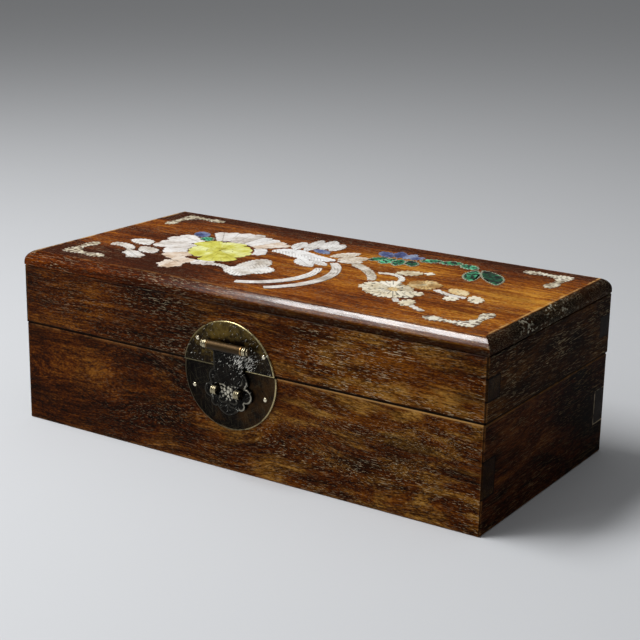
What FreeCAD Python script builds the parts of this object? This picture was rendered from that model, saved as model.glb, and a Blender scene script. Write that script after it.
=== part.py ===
import FreeCAD, Part
import math
import os
import re

import Sketcher
from FreeCAD import Placement, Rotation, Vector

# An oblong wooden box for ink sticks and an ink stone. The base and the lid are frames of four boards,
# each corner mitred with one through finger in its middle third. A round lock plate is split at the seam:
# its upper half carries a flap on a rod, its lower half two staples that the flap drops over.
# The origin is the middle of the underside, X runs along the front, Y to the back, Z up. Millimetres.

SIZES = {
    # boards
    "boxLength": 300.0,
    "lidLength": 301.0,
    "boxDepth": 147.5,
    "boxHeight": 101.4,
    "seamHeight": 58.5,
    "wall": 13.0,
    "bottomBoard": 8.0,
    "topBoard": 8.5,
    "rebate": 6.5,
    "ease": 0.6,
    "mouldRise": 6.6,
    "mouldInset": 4.84,
    "tongueDeep": 2.5,
    "tongueGap": 0.3,
    # lock plate, its nails, rod, flap and staples
    "lockX": -1.5,
    "lockZ": 54.2,
    "lockRadius": 30.2,
    "plateThick": 1.0,
    "plateGap": 0.3,
    "rimChamfer": 0.3,
    "plateOffset": 1.0,
    "nailHead": 1.25,
    "nailDome": 0.8,
    "nailShank": 0.6,
    "nailLength": 8.0,
    "runGap": 0.05,
    "drillSpare": 0.5,
    "upperNailLeft": 20.4,
    "upperNailLeftUp": 17.6,
    "upperNailRight": 23.0,
    "upperNailRightUp": 14.6,
    "lowerNailLeft": 23.6,
    "lowerNailLeftDown": 9.1,
    "lowerNailRight": 23.2,
    "lowerNailRightDown": 8.7,
    "rodRadius": 1.3,
    "rodHalf": 14.7,
    "knobRadius": 2.1,
    "knobHalf": 0.8,
    "rodRise": 16.4,
    "rollHalf": 11.6,
    "flapThick": 1.2,
    "flapGap": 0.35,
    "rodEyeX": 12.95,
    "rodEyeWide": 2.2,
    "rodEyeWall": 1.1,
    "stapleX": 7.6,
    "stapleWide": 3.4,
    "stapleDrop": 8.2,
    "stapleBore": 1.5,
    "stapleWall": 0.95,
    "stapleClear": 0.3,
    "shankHalf": 1.0,
    "legReach": 6.0,
    "legThick": 1.0,
    "slotSide": 0.2,
    "slotRoom": 0.5,
    # hinges at the back
    "hingeX": 92.0,
    "leafThick": 1.2,
    "leafHalf": 15.0,
    "leafShoulder": 12.0,
    "leafBulgeX": 11.2,
    "leafBulgeZ": 13.4,
    "leafWaistX": 9.0,
    "leafWaistZ": 17.0,
    "leafTip": 26.0,
    "leafNailX": 10.0,
    "leafNailZ": 8.5,
    "leafNailTip": 19.0,
    "barrelRadius": 2.6,
    "pinRadius": 1.2,
    "pinHead": 1.9,
    "pinDome": 1.0,
    "knuckleHalf": 5.0,
    "knuckleGap": 0.1,
    "leafCut": 3.7,
    "mortiseHalf": 16.8,
    "mortiseRoom": 0.3,
    "openAngle": 105.6,
    # inlay let into the top board
    "inlayDeep": 0.8,
    "inlayProud": 0.25,
}

# Lengths worked out from the cells above. Each name stands for its expression.
TERMS = {
    "halfBox": "(boxLength / 2)",
    "halfLid": "(lidLength / 2)",
    "halfDepth": "(boxDepth / 2)",
    "lidBoardTop": "(boxHeight - topBoard)",
    "baseThird": "(seamHeight / 3)",
    "lidThird": "((lidBoardTop - seamHeight) / 3)",
    "mouldRadius": "((mouldRise ^ 2 + mouldInset ^ 2) / (2 * mouldInset))",
    "mouldTurn": "asin(mouldRise / mouldRadius)",
    "mouldFoot": "(boxHeight - mouldRise)",
    "plateFace": "(halfDepth + plateThick)",
    "flapBack": "(plateFace + flapGap)",
    "flapFace": "(flapBack + flapThick)",
    "rollRadius": "(rodRadius + runGap + flapThick)",
    "upperX": "(lockX - plateOffset)",
    "rodY": "(flapBack + rollRadius)",
    "rodZ": "(lockZ + rodRise)",
    "rodEyeRadius": "(rodRadius + runGap + rodEyeWall)",
    "knobX": "(rodEyeX + rodEyeWide / 2 + 2 * runGap + knobHalf)",
    "stapleRadius": "(stapleBore + stapleWall)",
    "stapleY": "(flapFace + stapleBore + stapleClear)",
    "stapleZ": "(lockZ - stapleDrop)",
    "slotLow": "(stapleZ - stapleRadius - slotRoom)",
    "slotHigh": "(stapleZ + stapleRadius + slotRoom)",
    "hingeY": "(halfDepth + leafThick - barrelRadius)",
    "bevelDeep": "(halfDepth - hingeY)",
    "bevelRise": "(bevelDeep * tan(openAngle / 2))",
    "mortiseDeep": "(2 * barrelRadius - leafThick + mortiseRoom)",
    "inlayTop": "(boxHeight + inlayProud)",
}

OVER = "1"  # how far a cutting outline runs past the wood
ENDS = (-1, 1)

doc = FreeCAD.newDocument("InkBox")


def bind(text):
    """The expression with each worked-out length spelt out and each cell name pointing at the sheet."""
    text = str(text)
    while any(word in TERMS for word in re.findall(r"[A-Za-z]\w*", text)):
        text = re.sub(r"[A-Za-z]\w*", lambda found: TERMS.get(found.group(), found.group()), text)
    return re.sub(r"[A-Za-z]\w*", lambda f: "Sizes." + f.group() if f.group() in SIZES else f.group(), text)


def size(text):
    """The number that an expression comes to, in millimetres."""
    return float(sheet.evalExpression(bind(text)))


def make_sheet():
    made = doc.addObject("Spreadsheet::Sheet", "Sizes")
    for row, (alias, value) in enumerate(SIZES.items(), start=1):
        made.set(f"A{row}", alias)
        made.set(f"B{row}", str(value))
        made.setAlias(f"B{row}", alias)
    doc.recompute()
    return made


# Sketches and features

def new_body(label):
    body = doc.addObject("PartDesign::Body", label)
    body.Label = label
    body.AllowCompound = True
    body.Placement = Placement()
    return body


def sketch_on(body, role, offset="0"):
    """Sketch on one of the body's own origin planes, moved along the plane's normal."""
    plane = next(feature for feature in body.Origin.OriginFeatures if feature.Role == role)
    sketch = body.newObject("Sketcher::SketchObject", "Sketch")
    sketch.AttachmentSupport = [(plane, "")]
    sketch.MapMode = "FlatFace"
    sketch.setExpression(".AttachmentOffset.Base.z", bind(offset))
    return sketch


def hold(sketch, kind, spot, text):
    held = sketch.addConstraint(Sketcher.Constraint(kind, *spot, size(text)))
    sketch.setExpression(f"Constraints[{held}]", bind(text))


def pin_point(sketch, geometry, end, across, up):
    hold(sketch, "DistanceX", (-1, 1, geometry, end), across)
    hold(sketch, "DistanceY", (-1, 1, geometry, end), up)


def outline(sketch, corners):
    """Closed outline. A corner is (across, up), or (across, up, across, up) where the edge that leaves it
    is an arc through the second point."""
    spots = [Vector(size(corner[0]), size(corner[1]), 0) for corner in corners]
    edges = []
    for corner, here, there in zip(corners, spots, spots[1:] + spots[:1]):
        if len(corner) == 4:
            middle = Vector(size(corner[2]), size(corner[3]), 0)
            clockwise = (middle - here).cross(there - middle).z < 0
            ends = (there, here) if clockwise else (here, there)
            edge = sketch.addGeometry(Part.Arc(ends[0], middle, ends[1]))
            point = sketch.addGeometry(Part.Point(middle), True)
            edges.append((edge, 2, 1) if clockwise else (edge, 1, 2))
            pin_point(sketch, point, 1, corner[2], corner[3])
            sketch.addConstraint(Sketcher.Constraint("PointOnObject", point, 1, edge))
        else:
            edges.append((sketch.addGeometry(Part.LineSegment(here, there)), 1, 2))
    for corner, here, there in zip(corners[1:] + corners[:1], edges, edges[1:] + edges[:1]):
        sketch.addConstraint(Sketcher.Constraint("Coincident", here[0], here[2], there[0], there[1]))
        pin_point(sketch, there[0], there[1], corner[0], corner[1])


def rectangle(sketch, low_across, high_across, low_up, high_up):
    outline(sketch, [
        (low_across, low_up),
        (high_across, low_up),
        (high_across, high_up),
        (low_across, high_up),
    ])


def circle(sketch, across, up, radius):
    centre = Vector(size(across), size(up), 0)
    ring = sketch.addGeometry(Part.Circle(centre, Vector(0, 0, 1), size(radius)))
    pin_point(sketch, ring, 3, across, up)
    hold(sketch, "Radius", (ring,), radius)


def pad(body, sketch, length, sides="One side", turned=False):
    feature = body.newObject("PartDesign::Pad", "Pad")
    feature.Profile = sketch
    feature.SideType = sides
    feature.Reversed = turned
    feature.setExpression("Length", bind(length))
    doc.recompute()
    return feature


def pocket(body, sketch, length=None, turned=False):
    """Cut along the sketch's normal, to a depth, or right through both ways where no depth is given."""
    before = body.Shape.Volume
    feature = body.newObject("PartDesign::Pocket", "Pocket")
    feature.Profile = sketch
    feature.Reversed = turned
    if length is None:
        feature.SideType = "Symmetric"
        feature.Type = "ThroughAll"
    else:
        feature.setExpression("Length", bind(length))
    doc.recompute()
    if body.Shape.Volume > before - 1e-6:
        raise RuntimeError(f"{body.Label}: a pocket cuts nothing")


def place(thing, spot, rotation=Rotation()):
    """Put a primitive at an (x, y, z) of expressions."""
    thing.Placement = Placement(Vector(), rotation)
    for axis, text in zip("xyz", spot):
        thing.setExpression(f"Placement.Base.{axis}", bind(text))
    return thing


def primitive(kind, name, **lengths):
    thing = doc.addObject(f"Part::{kind}", name)
    for key, text in lengths.items():
        thing.setExpression(key, bind(text))
    return thing


# Boards

def wall_outline(sketch, side, half, corners):
    """Cross-section of a board whose outer face stands at half; each corner is (inset, height)."""
    outline(sketch, [(f"{side} * ({half} - ({inset}))", height) for inset, height in corners])


def base_corners(edge_deep, edge_rise):
    return [
        ("0", "ease"),
        ("0", f"seamHeight - {edge_rise}"),
        (edge_deep, "seamHeight"),
        ("wall", "seamHeight"),
        ("wall", "bottomBoard"),
        ("rebate", "bottomBoard"),
        ("rebate", "0"),
        ("ease", "0"),
    ]


def lid_corners(edge_deep, edge_rise):
    return [
        ("0", f"seamHeight + {edge_rise}"),
        ("0", "lidBoardTop - ease"),
        ("ease", "lidBoardTop"),
        ("wall", "lidBoardTop"),
        ("wall", "seamHeight"),
        (edge_deep, "seamHeight"),
    ]


def ease_corners(body, half):
    """Take the sharp arris off the four upright corners."""
    sketch = sketch_on(body, "XY_Plane")
    for x_end in ENDS:
        for y_end in ENDS:
            outline(sketch, [
                (f"{x_end} * ({half} - ease - {OVER})", f"{y_end} * (halfDepth + {OVER})"),
                (f"{x_end} * ({half} + {OVER})", f"{y_end} * (halfDepth - ease - {OVER})"),
                (f"{x_end} * ({half} + {OVER})", f"{y_end} * (halfDepth + {OVER})"),
            ])
    pocket(body, sketch)


def long_board(label, side, half, corners, third, low):
    """Front or back board: mitred above and below the finger, which runs the full length."""
    body = new_body(label)
    section = sketch_on(body, "YZ_Plane")
    wall_outline(section, side, "halfDepth", corners)
    pad(body, section, f"2 * {half}", sides="Symmetric")
    for top in (f"{low} + {third}", f"{low} + 3 * {third}"):
        sketch = sketch_on(body, "XY_Plane", top)
        for end in ENDS:
            outline(sketch, [
                (f"{end} * ({half} - wall - {OVER})", f"{side} * (halfDepth - wall - {OVER})"),
                (f"{end} * ({half} + {OVER})", f"{side} * (halfDepth - wall - {OVER})"),
                (f"{end} * ({half} + {OVER})", f"{side} * (halfDepth + {OVER})"),
            ])
        pocket(body, sketch, third)
    ease_corners(body, half)
    return body


def side_board(label, side, half, corners, third, low, bevel):
    """Left or right board: mitred full height, with a notch at each end for the finger."""
    body = new_body(label)
    section = sketch_on(body, "XZ_Plane")
    wall_outline(section, side, half, corners)
    pad(body, section, "boxDepth", sides="Symmetric")
    mitre = sketch_on(body, "XY_Plane")
    notch = sketch_on(body, "YZ_Plane")
    for end in ENDS:
        outline(mitre, [
            (f"{side} * ({half} - wall - {OVER})", f"{end} * (halfDepth - wall - {OVER})"),
            (f"{side} * ({half} - wall - {OVER})", f"{end} * (halfDepth + {OVER})"),
            (f"{side} * ({half} + {OVER})", f"{end} * (halfDepth + {OVER})"),
        ])
        rectangle(notch, f"{end} * (halfDepth - wall)", f"{end} * (halfDepth + {OVER})",
                  f"{low} + {third}", f"{low} + 2 * {third}")
    pocket(body, mitre)
    pocket(body, notch)
    back = sketch_on(body, "YZ_Plane")
    outline(back, [
        ("hingeY - bevelDeep", f"seamHeight + {bevel} * bevelRise"),
        ("hingeY + 2 * bevelDeep", f"seamHeight - {bevel} * 2 * bevelRise"),
        ("hingeY + 2 * bevelDeep", f"seamHeight + {bevel} * bevelRise"),
    ])
    pocket(body, back)
    ease_corners(body, half)
    return body


def cut_hinge_mortises(body, turned):
    """Notch for each hinge barrel in the back board's edge at the seam."""
    sketch = sketch_on(body, "XY_Plane", "seamHeight")
    for end in ENDS:
        rectangle(sketch, f"{end} * hingeX - mortiseHalf", f"{end} * hingeX + mortiseHalf",
                  "halfDepth - mortiseDeep", f"halfDepth + {OVER}")
    pocket(body, sketch, "leafCut", turned)


def drill_nail_holes(body, spots, face, depth, turned=False):
    sketch = sketch_on(body, "XZ_Plane", face)
    for across, up in spots:
        circle(sketch, across, up, "nailShank + runGap")
    pocket(body, sketch, depth, turned)


def cut_shank_holes(body, xs, wide, height, depth):
    """Oblong holes for the shanks of the rod eyes or the staples, from the front face back."""
    sketch = sketch_on(body, "XZ_Plane", f"plateFace + {OVER}")
    for centre in xs:
        rectangle(sketch, f"{centre} - {wide} / 2 - runGap", f"{centre} + {wide} / 2 + runGap",
                  f"{height} - shankHalf - runGap", f"{height} + shankHalf + runGap")
    pocket(body, sketch, depth)


def base_boards():
    front = long_board("base_front_board", -1, "halfBox", base_corners("ease", "ease"), "baseThird", "0")
    drill_nail_holes(front, LOWER_LOCK_NAILS, "halfDepth", "nailLength + drillSpare")
    cut_shank_holes(front, STAPLE_XS, "stapleWide", "stapleZ", f"plateThick + wall + 2 * {OVER}")
    bevelled = base_corners("bevelDeep", "bevelRise")
    back = long_board("base_back_board", 1, "halfBox", bevelled, "baseThird", "0")
    cut_hinge_mortises(back, False)
    drill_nail_holes(back, hinge_nail_spots(-1), "-halfDepth", "nailLength + drillSpare", turned=True)
    for label, side in (("base_left_board", -1), ("base_right_board", 1)):
        side_board(label, side, "halfBox", base_corners("ease", "ease"), "baseThird", "0", 1)


def lid_boards():
    high = "seamHeight"
    front = long_board("lid_front_board", -1, "halfLid", lid_corners("ease", "ease"), "lidThird", high)
    drill_nail_holes(front, UPPER_LOCK_NAILS, "halfDepth", "nailLength + drillSpare")
    cut_shank_holes(front, ROD_EYE_XS, "rodEyeWide", "rodZ", f"plateThick + wall + 2 * {OVER}")
    bevelled = lid_corners("bevelDeep", "bevelRise")
    back = long_board("lid_back_board", 1, "halfLid", bevelled, "lidThird", high)
    cut_hinge_mortises(back, True)
    drill_nail_holes(back, hinge_nail_spots(1), "-halfDepth", "nailLength + drillSpare", turned=True)
    for label, side in (("lid_left_board", -1), ("lid_right_board", 1)):
        side_board(label, side, "halfLid", lid_corners("ease", "ease"), "lidThird", high, -1)


def bottom_panel():
    """Board that sits in the rebate round the underside of the base, flush with it."""
    body = new_body("bottom_panel")
    sketch = sketch_on(body, "XY_Plane")
    rectangle(sketch, "-(halfBox - rebate)", "halfBox - rebate",
              "-(halfDepth - rebate)", "halfDepth - rebate")
    pad(body, sketch, "bottomBoard")


def mould_arc(side, half):
    """The moulded edge's corners: foot of the curve, a point half way round it, and its top arris."""
    foot = (f"{side} * {half}", "mouldFoot")
    turn = "mouldTurn / 2"
    middle = (f"{side} * ({half} - mouldRadius + mouldRadius * cos({turn}))",
              f"mouldFoot + mouldRadius * sin({turn})")
    arris = (f"{side} * ({half} - mouldInset)", "boxHeight")
    return foot, middle, arris


def top_panel(inlays):
    """Top board with a curved moulding on all four edges, a tongue that drops into the lid's frame,
    and a pocket for each inlaid piece."""
    body = new_body("top_panel_board")
    section = sketch_on(body, "YZ_Plane")
    foot, middle, arris = mould_arc(1, "halfDepth")
    left_foot, left_middle, left_arris = mould_arc(-1, "halfDepth")
    outline(section, [
        ("-(halfDepth - ease)", "lidBoardTop"),
        ("halfDepth - ease", "lidBoardTop"),
        ("halfDepth", "lidBoardTop + ease"),
        foot + middle,
        arris,
        left_arris + left_middle,
        left_foot,
        ("-halfDepth", "lidBoardTop + ease"),
    ])
    pad(body, section, "lidLength", sides="Symmetric")
    ends = sketch_on(body, "XZ_Plane")
    for end in ENDS:
        foot, middle, arris = mould_arc(end, "halfLid")
        outline(ends, [
            foot + middle,
            arris,
            (arris[0], f"boxHeight + {OVER}"),
            (f"{end} * (halfLid + {OVER})", f"boxHeight + {OVER}"),
            (f"{end} * (halfLid + {OVER})", "mouldFoot"),
        ])
        outline(ends, [
            (f"{end} * (halfLid - ease - {OVER})", f"lidBoardTop - {OVER}"),
            (f"{end} * (halfLid + {OVER})", f"lidBoardTop - {OVER}"),
            (f"{end} * (halfLid + {OVER})", f"lidBoardTop + ease + {OVER}"),
        ])
    pocket(body, ends)
    tongue = sketch_on(body, "XY_Plane", "lidBoardTop")
    rectangle(tongue, "-(halfLid - wall - tongueGap)", "halfLid - wall - tongueGap",
              "-(halfDepth - wall - tongueGap)", "halfDepth - wall - tongueGap")
    pad(body, tongue, "tongueDeep", turned=True)
    pieces = doc.addObject("Part::Compound", "inlay_tools")
    pieces.Links = inlays
    panel = doc.addObject("Part::Cut", "top_panel")
    panel.Base = body
    panel.Tool = pieces
    panel.Label = "top_panel"
    return panel


# Lock

STAPLE_XS = ["lockX - stapleX", "lockX + stapleX"]
ROD_EYE_XS = ["upperX - rodEyeX", "upperX + rodEyeX"]
UPPER_LOCK_NAILS = [("upperX - upperNailLeft", "lockZ + upperNailLeftUp"),
                    ("upperX + upperNailRight", "lockZ + upperNailRightUp")]
LOWER_LOCK_NAILS = [("lockX - lowerNailLeft", "lockZ - lowerNailLeftDown"),
                    ("lockX + lowerNailRight", "lockZ - lowerNailRightDown")]
OUT_FRONT = Rotation(Vector(1, 0, 0), 90)
OUT_BACK = Rotation(Vector(1, 0, 0), -90)
ALONG_X = Rotation(Vector(0, 1, 0), 90)
AGAINST_X = Rotation(Vector(0, 1, 0), -90)

# Right half of the flap's cloud outline, from the neck down: distance from the middle and height above
# the plate's centre, with the point half way along the arc that follows.
FLAP_EDGE = [
    (9.6, 3.4, 12.7, -1.0),
    (11.2, -4.8, 15.6, -8.6),
    (10.6, -13.2, 11.1, -15.9),
    (6.9, -17.4, 4.4, -20.0),
]
FLAP_FOOT = (0.0, -21.6)
FLAP_NECK = 10.2


def lock_plate(label, upper, nails, shank_xs, wide, height):
    """One half of the round plate, cut straight along the seam."""
    body = new_body(label)
    centre = "upperX" if upper else "lockX"
    disc = sketch_on(body, "XZ_Plane", "halfDepth")
    circle(disc, centre, "lockZ", "lockRadius")
    plate = pad(body, disc, "plateThick")
    rim = body.newObject("PartDesign::Chamfer", "Rim")
    face = size("plateFace")
    rims = [f"Edge{i}" for i, edge in enumerate(plate.Shape.Edges, start=1)
            if abs(edge.CenterOfMass.y + face) < 1e-3 and edge.Length > size("lockRadius")]
    rim.Base = (plate, rims)
    rim.setExpression("Size", bind("rimChamfer"))
    doc.recompute()
    cut = sketch_on(body, "XZ_Plane", "plateFace")
    away = -1 if upper else 1
    rectangle(cut, f"{centre} - lockRadius - {OVER}", f"{centre} + lockRadius + {OVER}",
              f"seamHeight - {away} * plateGap / 2", f"lockZ + {away} * (lockRadius + {OVER})")
    pocket(body, cut, f"plateThick + {OVER}")
    drill_nail_holes(body, nails, "plateFace", "plateThick")
    cut_shank_holes(body, shank_xs, wide, height, f"plateThick + {OVER}")


def domed_head(name, radius, dome):
    """Cap of a sphere, and how far the sphere's centre lies below the cap's flat side."""
    cap = primitive("Sphere", name,
                    Radius=f"({radius} ^ 2 + {dome} ^ 2) / (2 * {dome})",
                    Angle1=f"asin(1 - 2 * {dome} ^ 2 / ({radius} ^ 2 + {dome} ^ 2))")
    return cap, f"({radius} ^ 2 - {dome} ^ 2) / (2 * {dome})"


def nails(label, spots, face, outward):
    """Round-headed nails, each a cap on a shank, as one group of separate solids."""
    made = []
    sign = "-1" if outward == OUT_FRONT else "1"
    for number, (across, up) in enumerate(spots, start=1):
        cap, sunk = domed_head(f"{label}_head_{number}", "nailHead", "nailDome")
        place(cap, (across, f"{sign} * ({face} - {sunk})", up), outward)
        shank = primitive("Cylinder", f"{label}_shank_{number}", Radius="nailShank", Height="nailLength")
        place(shank, (across, f"{sign} * ({face} - nailLength)", up), outward)
        made += [cap, shank]
    group = doc.addObject("Part::MultiFuse", label)
    group.Shapes = made
    group.Label = label


def split_eye(label, centre, wide, forward, height, radius, bore):
    """Strip bent round into an eye; its two legs go through plate and board and are bent apart inside."""
    body = new_body(label)
    sketch = sketch_on(body, "YZ_Plane", centre)
    root = f"-{forward} + sqrt({radius} ^ 2 - shankHalf ^ 2)"
    inner = "-(halfDepth - wall)"
    leg = "-(halfDepth - wall - legThick)"
    outline(sketch, [
        (root, f"{height} + shankHalf"),
        (inner, f"{height} + shankHalf"),
        (inner, f"{height} + legReach"),
        (leg, f"{height} + legReach"),
        (leg, f"{height} - legReach"),
        (inner, f"{height} - legReach"),
        (inner, f"{height} - shankHalf"),
        (root, f"{height} - shankHalf", f"-{forward} - {radius}", height),
    ])
    circle(sketch, f"-{forward}", height, bore)
    pad(body, sketch, wide, sides="Symmetric")


def hasp_rod():
    """Rod through the rolled top of the flap, with a round knob at each end."""
    rod = primitive("Cylinder", "rod_bar", Radius="rodRadius", Height="2 * rodHalf")
    place(rod, ("upperX - rodHalf", "-rodY", "rodZ"), ALONG_X)
    knobs = []
    for end in ENDS:
        knob = primitive("Ellipsoid", f"rod_knob_{end + 2}",
                         Radius1="knobHalf", Radius2="knobRadius", Radius3="knobRadius")
        place(knob, (f"upperX + {end} * knobX", "-rodY", "rodZ"), ALONG_X)
        knobs.append(knob)
    fused = doc.addObject("Part::MultiFuse", "hasp_rod")
    fused.Shapes = [rod] + knobs
    fused.Label = "hasp_rod"


def hasp_flap():
    """Cloud-shaped flap rolled round the rod, with a slot for each staple."""
    body = new_body("hasp_flap")
    sheet_sketch = sketch_on(body, "XZ_Plane", "flapBack")
    right = [(f"lockX + {x}", f"lockZ + {z}", f"lockX + {mx}", f"lockZ + {mz}") for x, z, mx, mz in FLAP_EDGE]
    foot = (f"lockX + {FLAP_FOOT[0]}", f"lockZ + {FLAP_FOOT[1]}")
    starts = [(x, z) for x, z, _, _ in FLAP_EDGE[1:]] + [FLAP_FOOT]
    left = []
    for (x, z), (_, _, mx, mz) in zip(reversed(starts), reversed(FLAP_EDGE)):
        left.append((f"lockX - {x}", f"lockZ + {z}", f"lockX - {mx}", f"lockZ + {mz}"))
    left[0] = foot + left[0][2:]
    neck = [(f"lockX - {FLAP_EDGE[0][0]}", f"lockZ + {FLAP_EDGE[0][1]}"),
            (f"lockX - {FLAP_NECK}", "rodZ"),
            (f"lockX + {FLAP_NECK}", "rodZ")]
    outline(sheet_sketch, right + left + neck)
    pad(body, sheet_sketch, "flapThick")
    roll = sketch_on(body, "YZ_Plane", "upperX")
    circle(roll, "-rodY", "rodZ", "rollRadius")
    pad(body, roll, "2 * rollHalf", sides="Symmetric")
    bore = sketch_on(body, "YZ_Plane", "upperX")
    circle(bore, "-rodY", "rodZ", "rodRadius + runGap")
    pocket(body, bore)
    slots = sketch_on(body, "XZ_Plane", "flapFace")
    for centre in STAPLE_XS:
        rectangle(slots, f"{centre} - stapleWide / 2 - slotSide", f"{centre} + stapleWide / 2 + slotSide",
                  "slotLow", "slotHigh")
    pocket(body, slots, "flapThick")


def lock():
    lock_plate("lock_plate_upper", True, UPPER_LOCK_NAILS, ROD_EYE_XS, "rodEyeWide", "rodZ")
    lock_plate("lock_plate_lower", False, LOWER_LOCK_NAILS, STAPLE_XS, "stapleWide", "stapleZ")
    nails("lock_nails_upper", UPPER_LOCK_NAILS, "plateFace", OUT_FRONT)
    nails("lock_nails_lower", LOWER_LOCK_NAILS, "plateFace", OUT_FRONT)
    for place_name, eye_x, staple_x in zip(("left", "right"), ROD_EYE_XS, STAPLE_XS):
        split_eye(f"rod_eye_{place_name}", eye_x, "rodEyeWide", "rodY", "rodZ",
                  "rodEyeRadius", "rodRadius + runGap")
        split_eye(f"staple_{place_name}", staple_x, "stapleWide", "stapleY", "stapleZ",
                  "stapleRadius", "stapleBore")
    hasp_rod()
    hasp_flap()


# Hinges

def hinge_nail_places(centre, up):
    """Three nails to a leaf: two at its shoulders and one in its round end."""
    return [(f"{centre} - leafNailX", f"seamHeight + {up} * leafNailZ"),
            (f"{centre} + leafNailX", f"seamHeight + {up} * leafNailZ"),
            (centre, f"seamHeight + {up} * leafNailTip")]


def hinge_nail_spots(up):
    return [spot for end in ENDS for spot in hinge_nail_places(f"{end} * hingeX", up)]


def hinge_leaf(label, centre, up):
    """Leaf on the outside of the back. The upper leaf has the middle knuckle, the lower the outer two."""
    body = new_body(label)
    plate = sketch_on(body, "XZ_Plane", "-halfDepth")
    inner, outer = ("0", "leafCut") if up > 0 else ("leafCut", "0")
    half = "(knuckleHalf - knuckleGap)" if up > 0 else "knuckleHalf"
    points = [
        ("-leafHalf", outer),
        (f"-{half}", outer),
        (f"-{half}", inner),
        (half, inner),
        (half, outer),
        ("leafHalf", outer),
        ("leafHalf", "leafShoulder", "leafBulgeX", "leafBulgeZ"),
        ("leafWaistX", "leafWaistZ", "0", "leafTip"),
        ("-leafWaistX", "leafWaistZ", "-leafBulgeX", "leafBulgeZ"),
        ("-leafHalf", "leafShoulder"),
    ]
    placed = []
    for point in points:
        shifted = [f"{centre} + {value}" if i % 2 == 0 else f"seamHeight + {up} * {value}"
                   for i, value in enumerate(point)]
        placed.append(tuple(shifted))
    outline(plate, placed)
    pad(body, plate, "leafThick", turned=True)
    if up > 0:
        knuckles = [(centre, "2 * (knuckleHalf - knuckleGap)")]
    else:
        off = "(leafHalf + knuckleHalf) / 2"
        knuckles = [(f"{centre} + {end} * {off}", "leafHalf - knuckleHalf") for end in ENDS]
    for middle, length in knuckles:
        sketch = sketch_on(body, "YZ_Plane", middle)
        circle(sketch, "hingeY", "seamHeight", "barrelRadius")
        pad(body, sketch, length, sides="Symmetric")
    bore = sketch_on(body, "YZ_Plane")
    circle(bore, "hingeY", "seamHeight", "pinRadius + runGap")
    pocket(body, bore)
    drill_nail_holes(body, hinge_nail_places(centre, up), "-halfDepth", "leafThick", turned=False)


def hinge_pin(label, centre):
    """Pin with a low domed head at each end."""
    reach = "(leafHalf + runGap)"
    bar = primitive("Cylinder", f"{label}_bar", Radius="pinRadius", Height=f"2 * {reach}")
    place(bar, (f"{centre} - {reach}", "hingeY", "seamHeight"), ALONG_X)
    heads = []
    for end, turn in zip(ENDS, (AGAINST_X, ALONG_X)):
        head, sunk = domed_head(f"{label}_head_{end + 2}", "pinHead", "pinDome")
        place(head, (f"{centre} + {end} * ({reach} - {sunk})", "hingeY", "seamHeight"), turn)
        heads.append(head)
    fused = doc.addObject("Part::MultiFuse", label)
    fused.Shapes = [bar] + heads
    fused.Label = label


def hinges():
    for place_name, end in zip(("left", "right"), ENDS):
        centre = f"{end} * hingeX"
        hinge_leaf(f"hinge_leaf_lower_{place_name}", centre, -1)
        hinge_leaf(f"hinge_leaf_upper_{place_name}", centre, 1)
        hinge_pin(f"hinge_pin_{place_name}", centre)
    nails("hinge_nails_lower", hinge_nail_spots(-1), "halfDepth + leafThick", OUT_BACK)
    nails("hinge_nails_upper", hinge_nail_spots(1), "halfDepth + leafThick", OUT_BACK)


# Inlay: flowers, a long-tailed bird and corner scrolls, drawn freehand as arcs on the top board.
# A piece is a list of edges; its points are (x, y) on the board.

JOINT = 0.5  # gap between neighbouring petals of one flower


def at(centre, angle, radius):
    turn = math.radians(angle)
    return Vector(centre[0] + radius * math.cos(turn), centre[1] + radius * math.sin(turn), 0)


def lobed(points):
    """Closed outline, anticlockwise. A point is (x, y, rise): the arc that leaves it swells outwards by rise,
    or inwards where rise is below zero."""
    edges = []
    for (x, y, rise), (next_x, next_y, _) in zip(points, points[1:] + points[:1]):
        here, there = Vector(x, y, 0), Vector(next_x, next_y, 0)
        along = (there - here).normalize()
        middle = (here + there) * 0.5 + Vector(along.y, -along.x, 0) * rise
        edges.append(Part.Arc(here, middle, there))
    return edges


def leaf(base, tip, width, bend=0.0):
    """Two arcs from base to tip, bulging by half the width to each side of a bent midrib."""
    start, end = Vector(*base, 0), Vector(*tip, 0)
    along = (end - start).normalize()
    across = Vector(-along.y, along.x, 0)
    middle = (start + end) * 0.5
    one = Part.Arc(start, middle + across * (bend + width / 2), end)
    other = Part.Arc(end, middle + across * (bend - width / 2), start)
    return [one, other]


def petal(centre, angle, spread, near, far, lobes=2):
    """Sector of a flower: its sides stand half a joint in from two rays, its outer edge is a row of lobes."""
    shoulder = far * (0.8 + 0.05 * lobes)

    def on_side(side, radius):
        inset = math.degrees(math.asin(JOINT / 2 / radius))
        return at(centre, angle + side * (spread / 2 - inset), radius)

    first = angle - spread / 2
    notches = [at(centre, first + spread * number / lobes, far * 0.95) for number in range(1, lobes)]
    corners = [on_side(-1, shoulder)] + notches + [on_side(1, shoulder)]
    edges = [Part.LineSegment(on_side(-1, near), corners[0])]
    for number, (here, there) in enumerate(zip(corners, corners[1:])):
        crest = at(centre, first + spread * (number + 0.5) / lobes, far)
        edges.append(Part.Arc(here, crest, there))
    edges.append(Part.LineSegment(corners[-1], on_side(1, near)))
    edges.append(Part.Arc(on_side(1, near), at(centre, angle, near), on_side(-1, near)))
    return edges


def disc(centre, radius):
    return [Part.Circle(Vector(*centre, 0), Vector(0, 0, 1), radius)]


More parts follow.
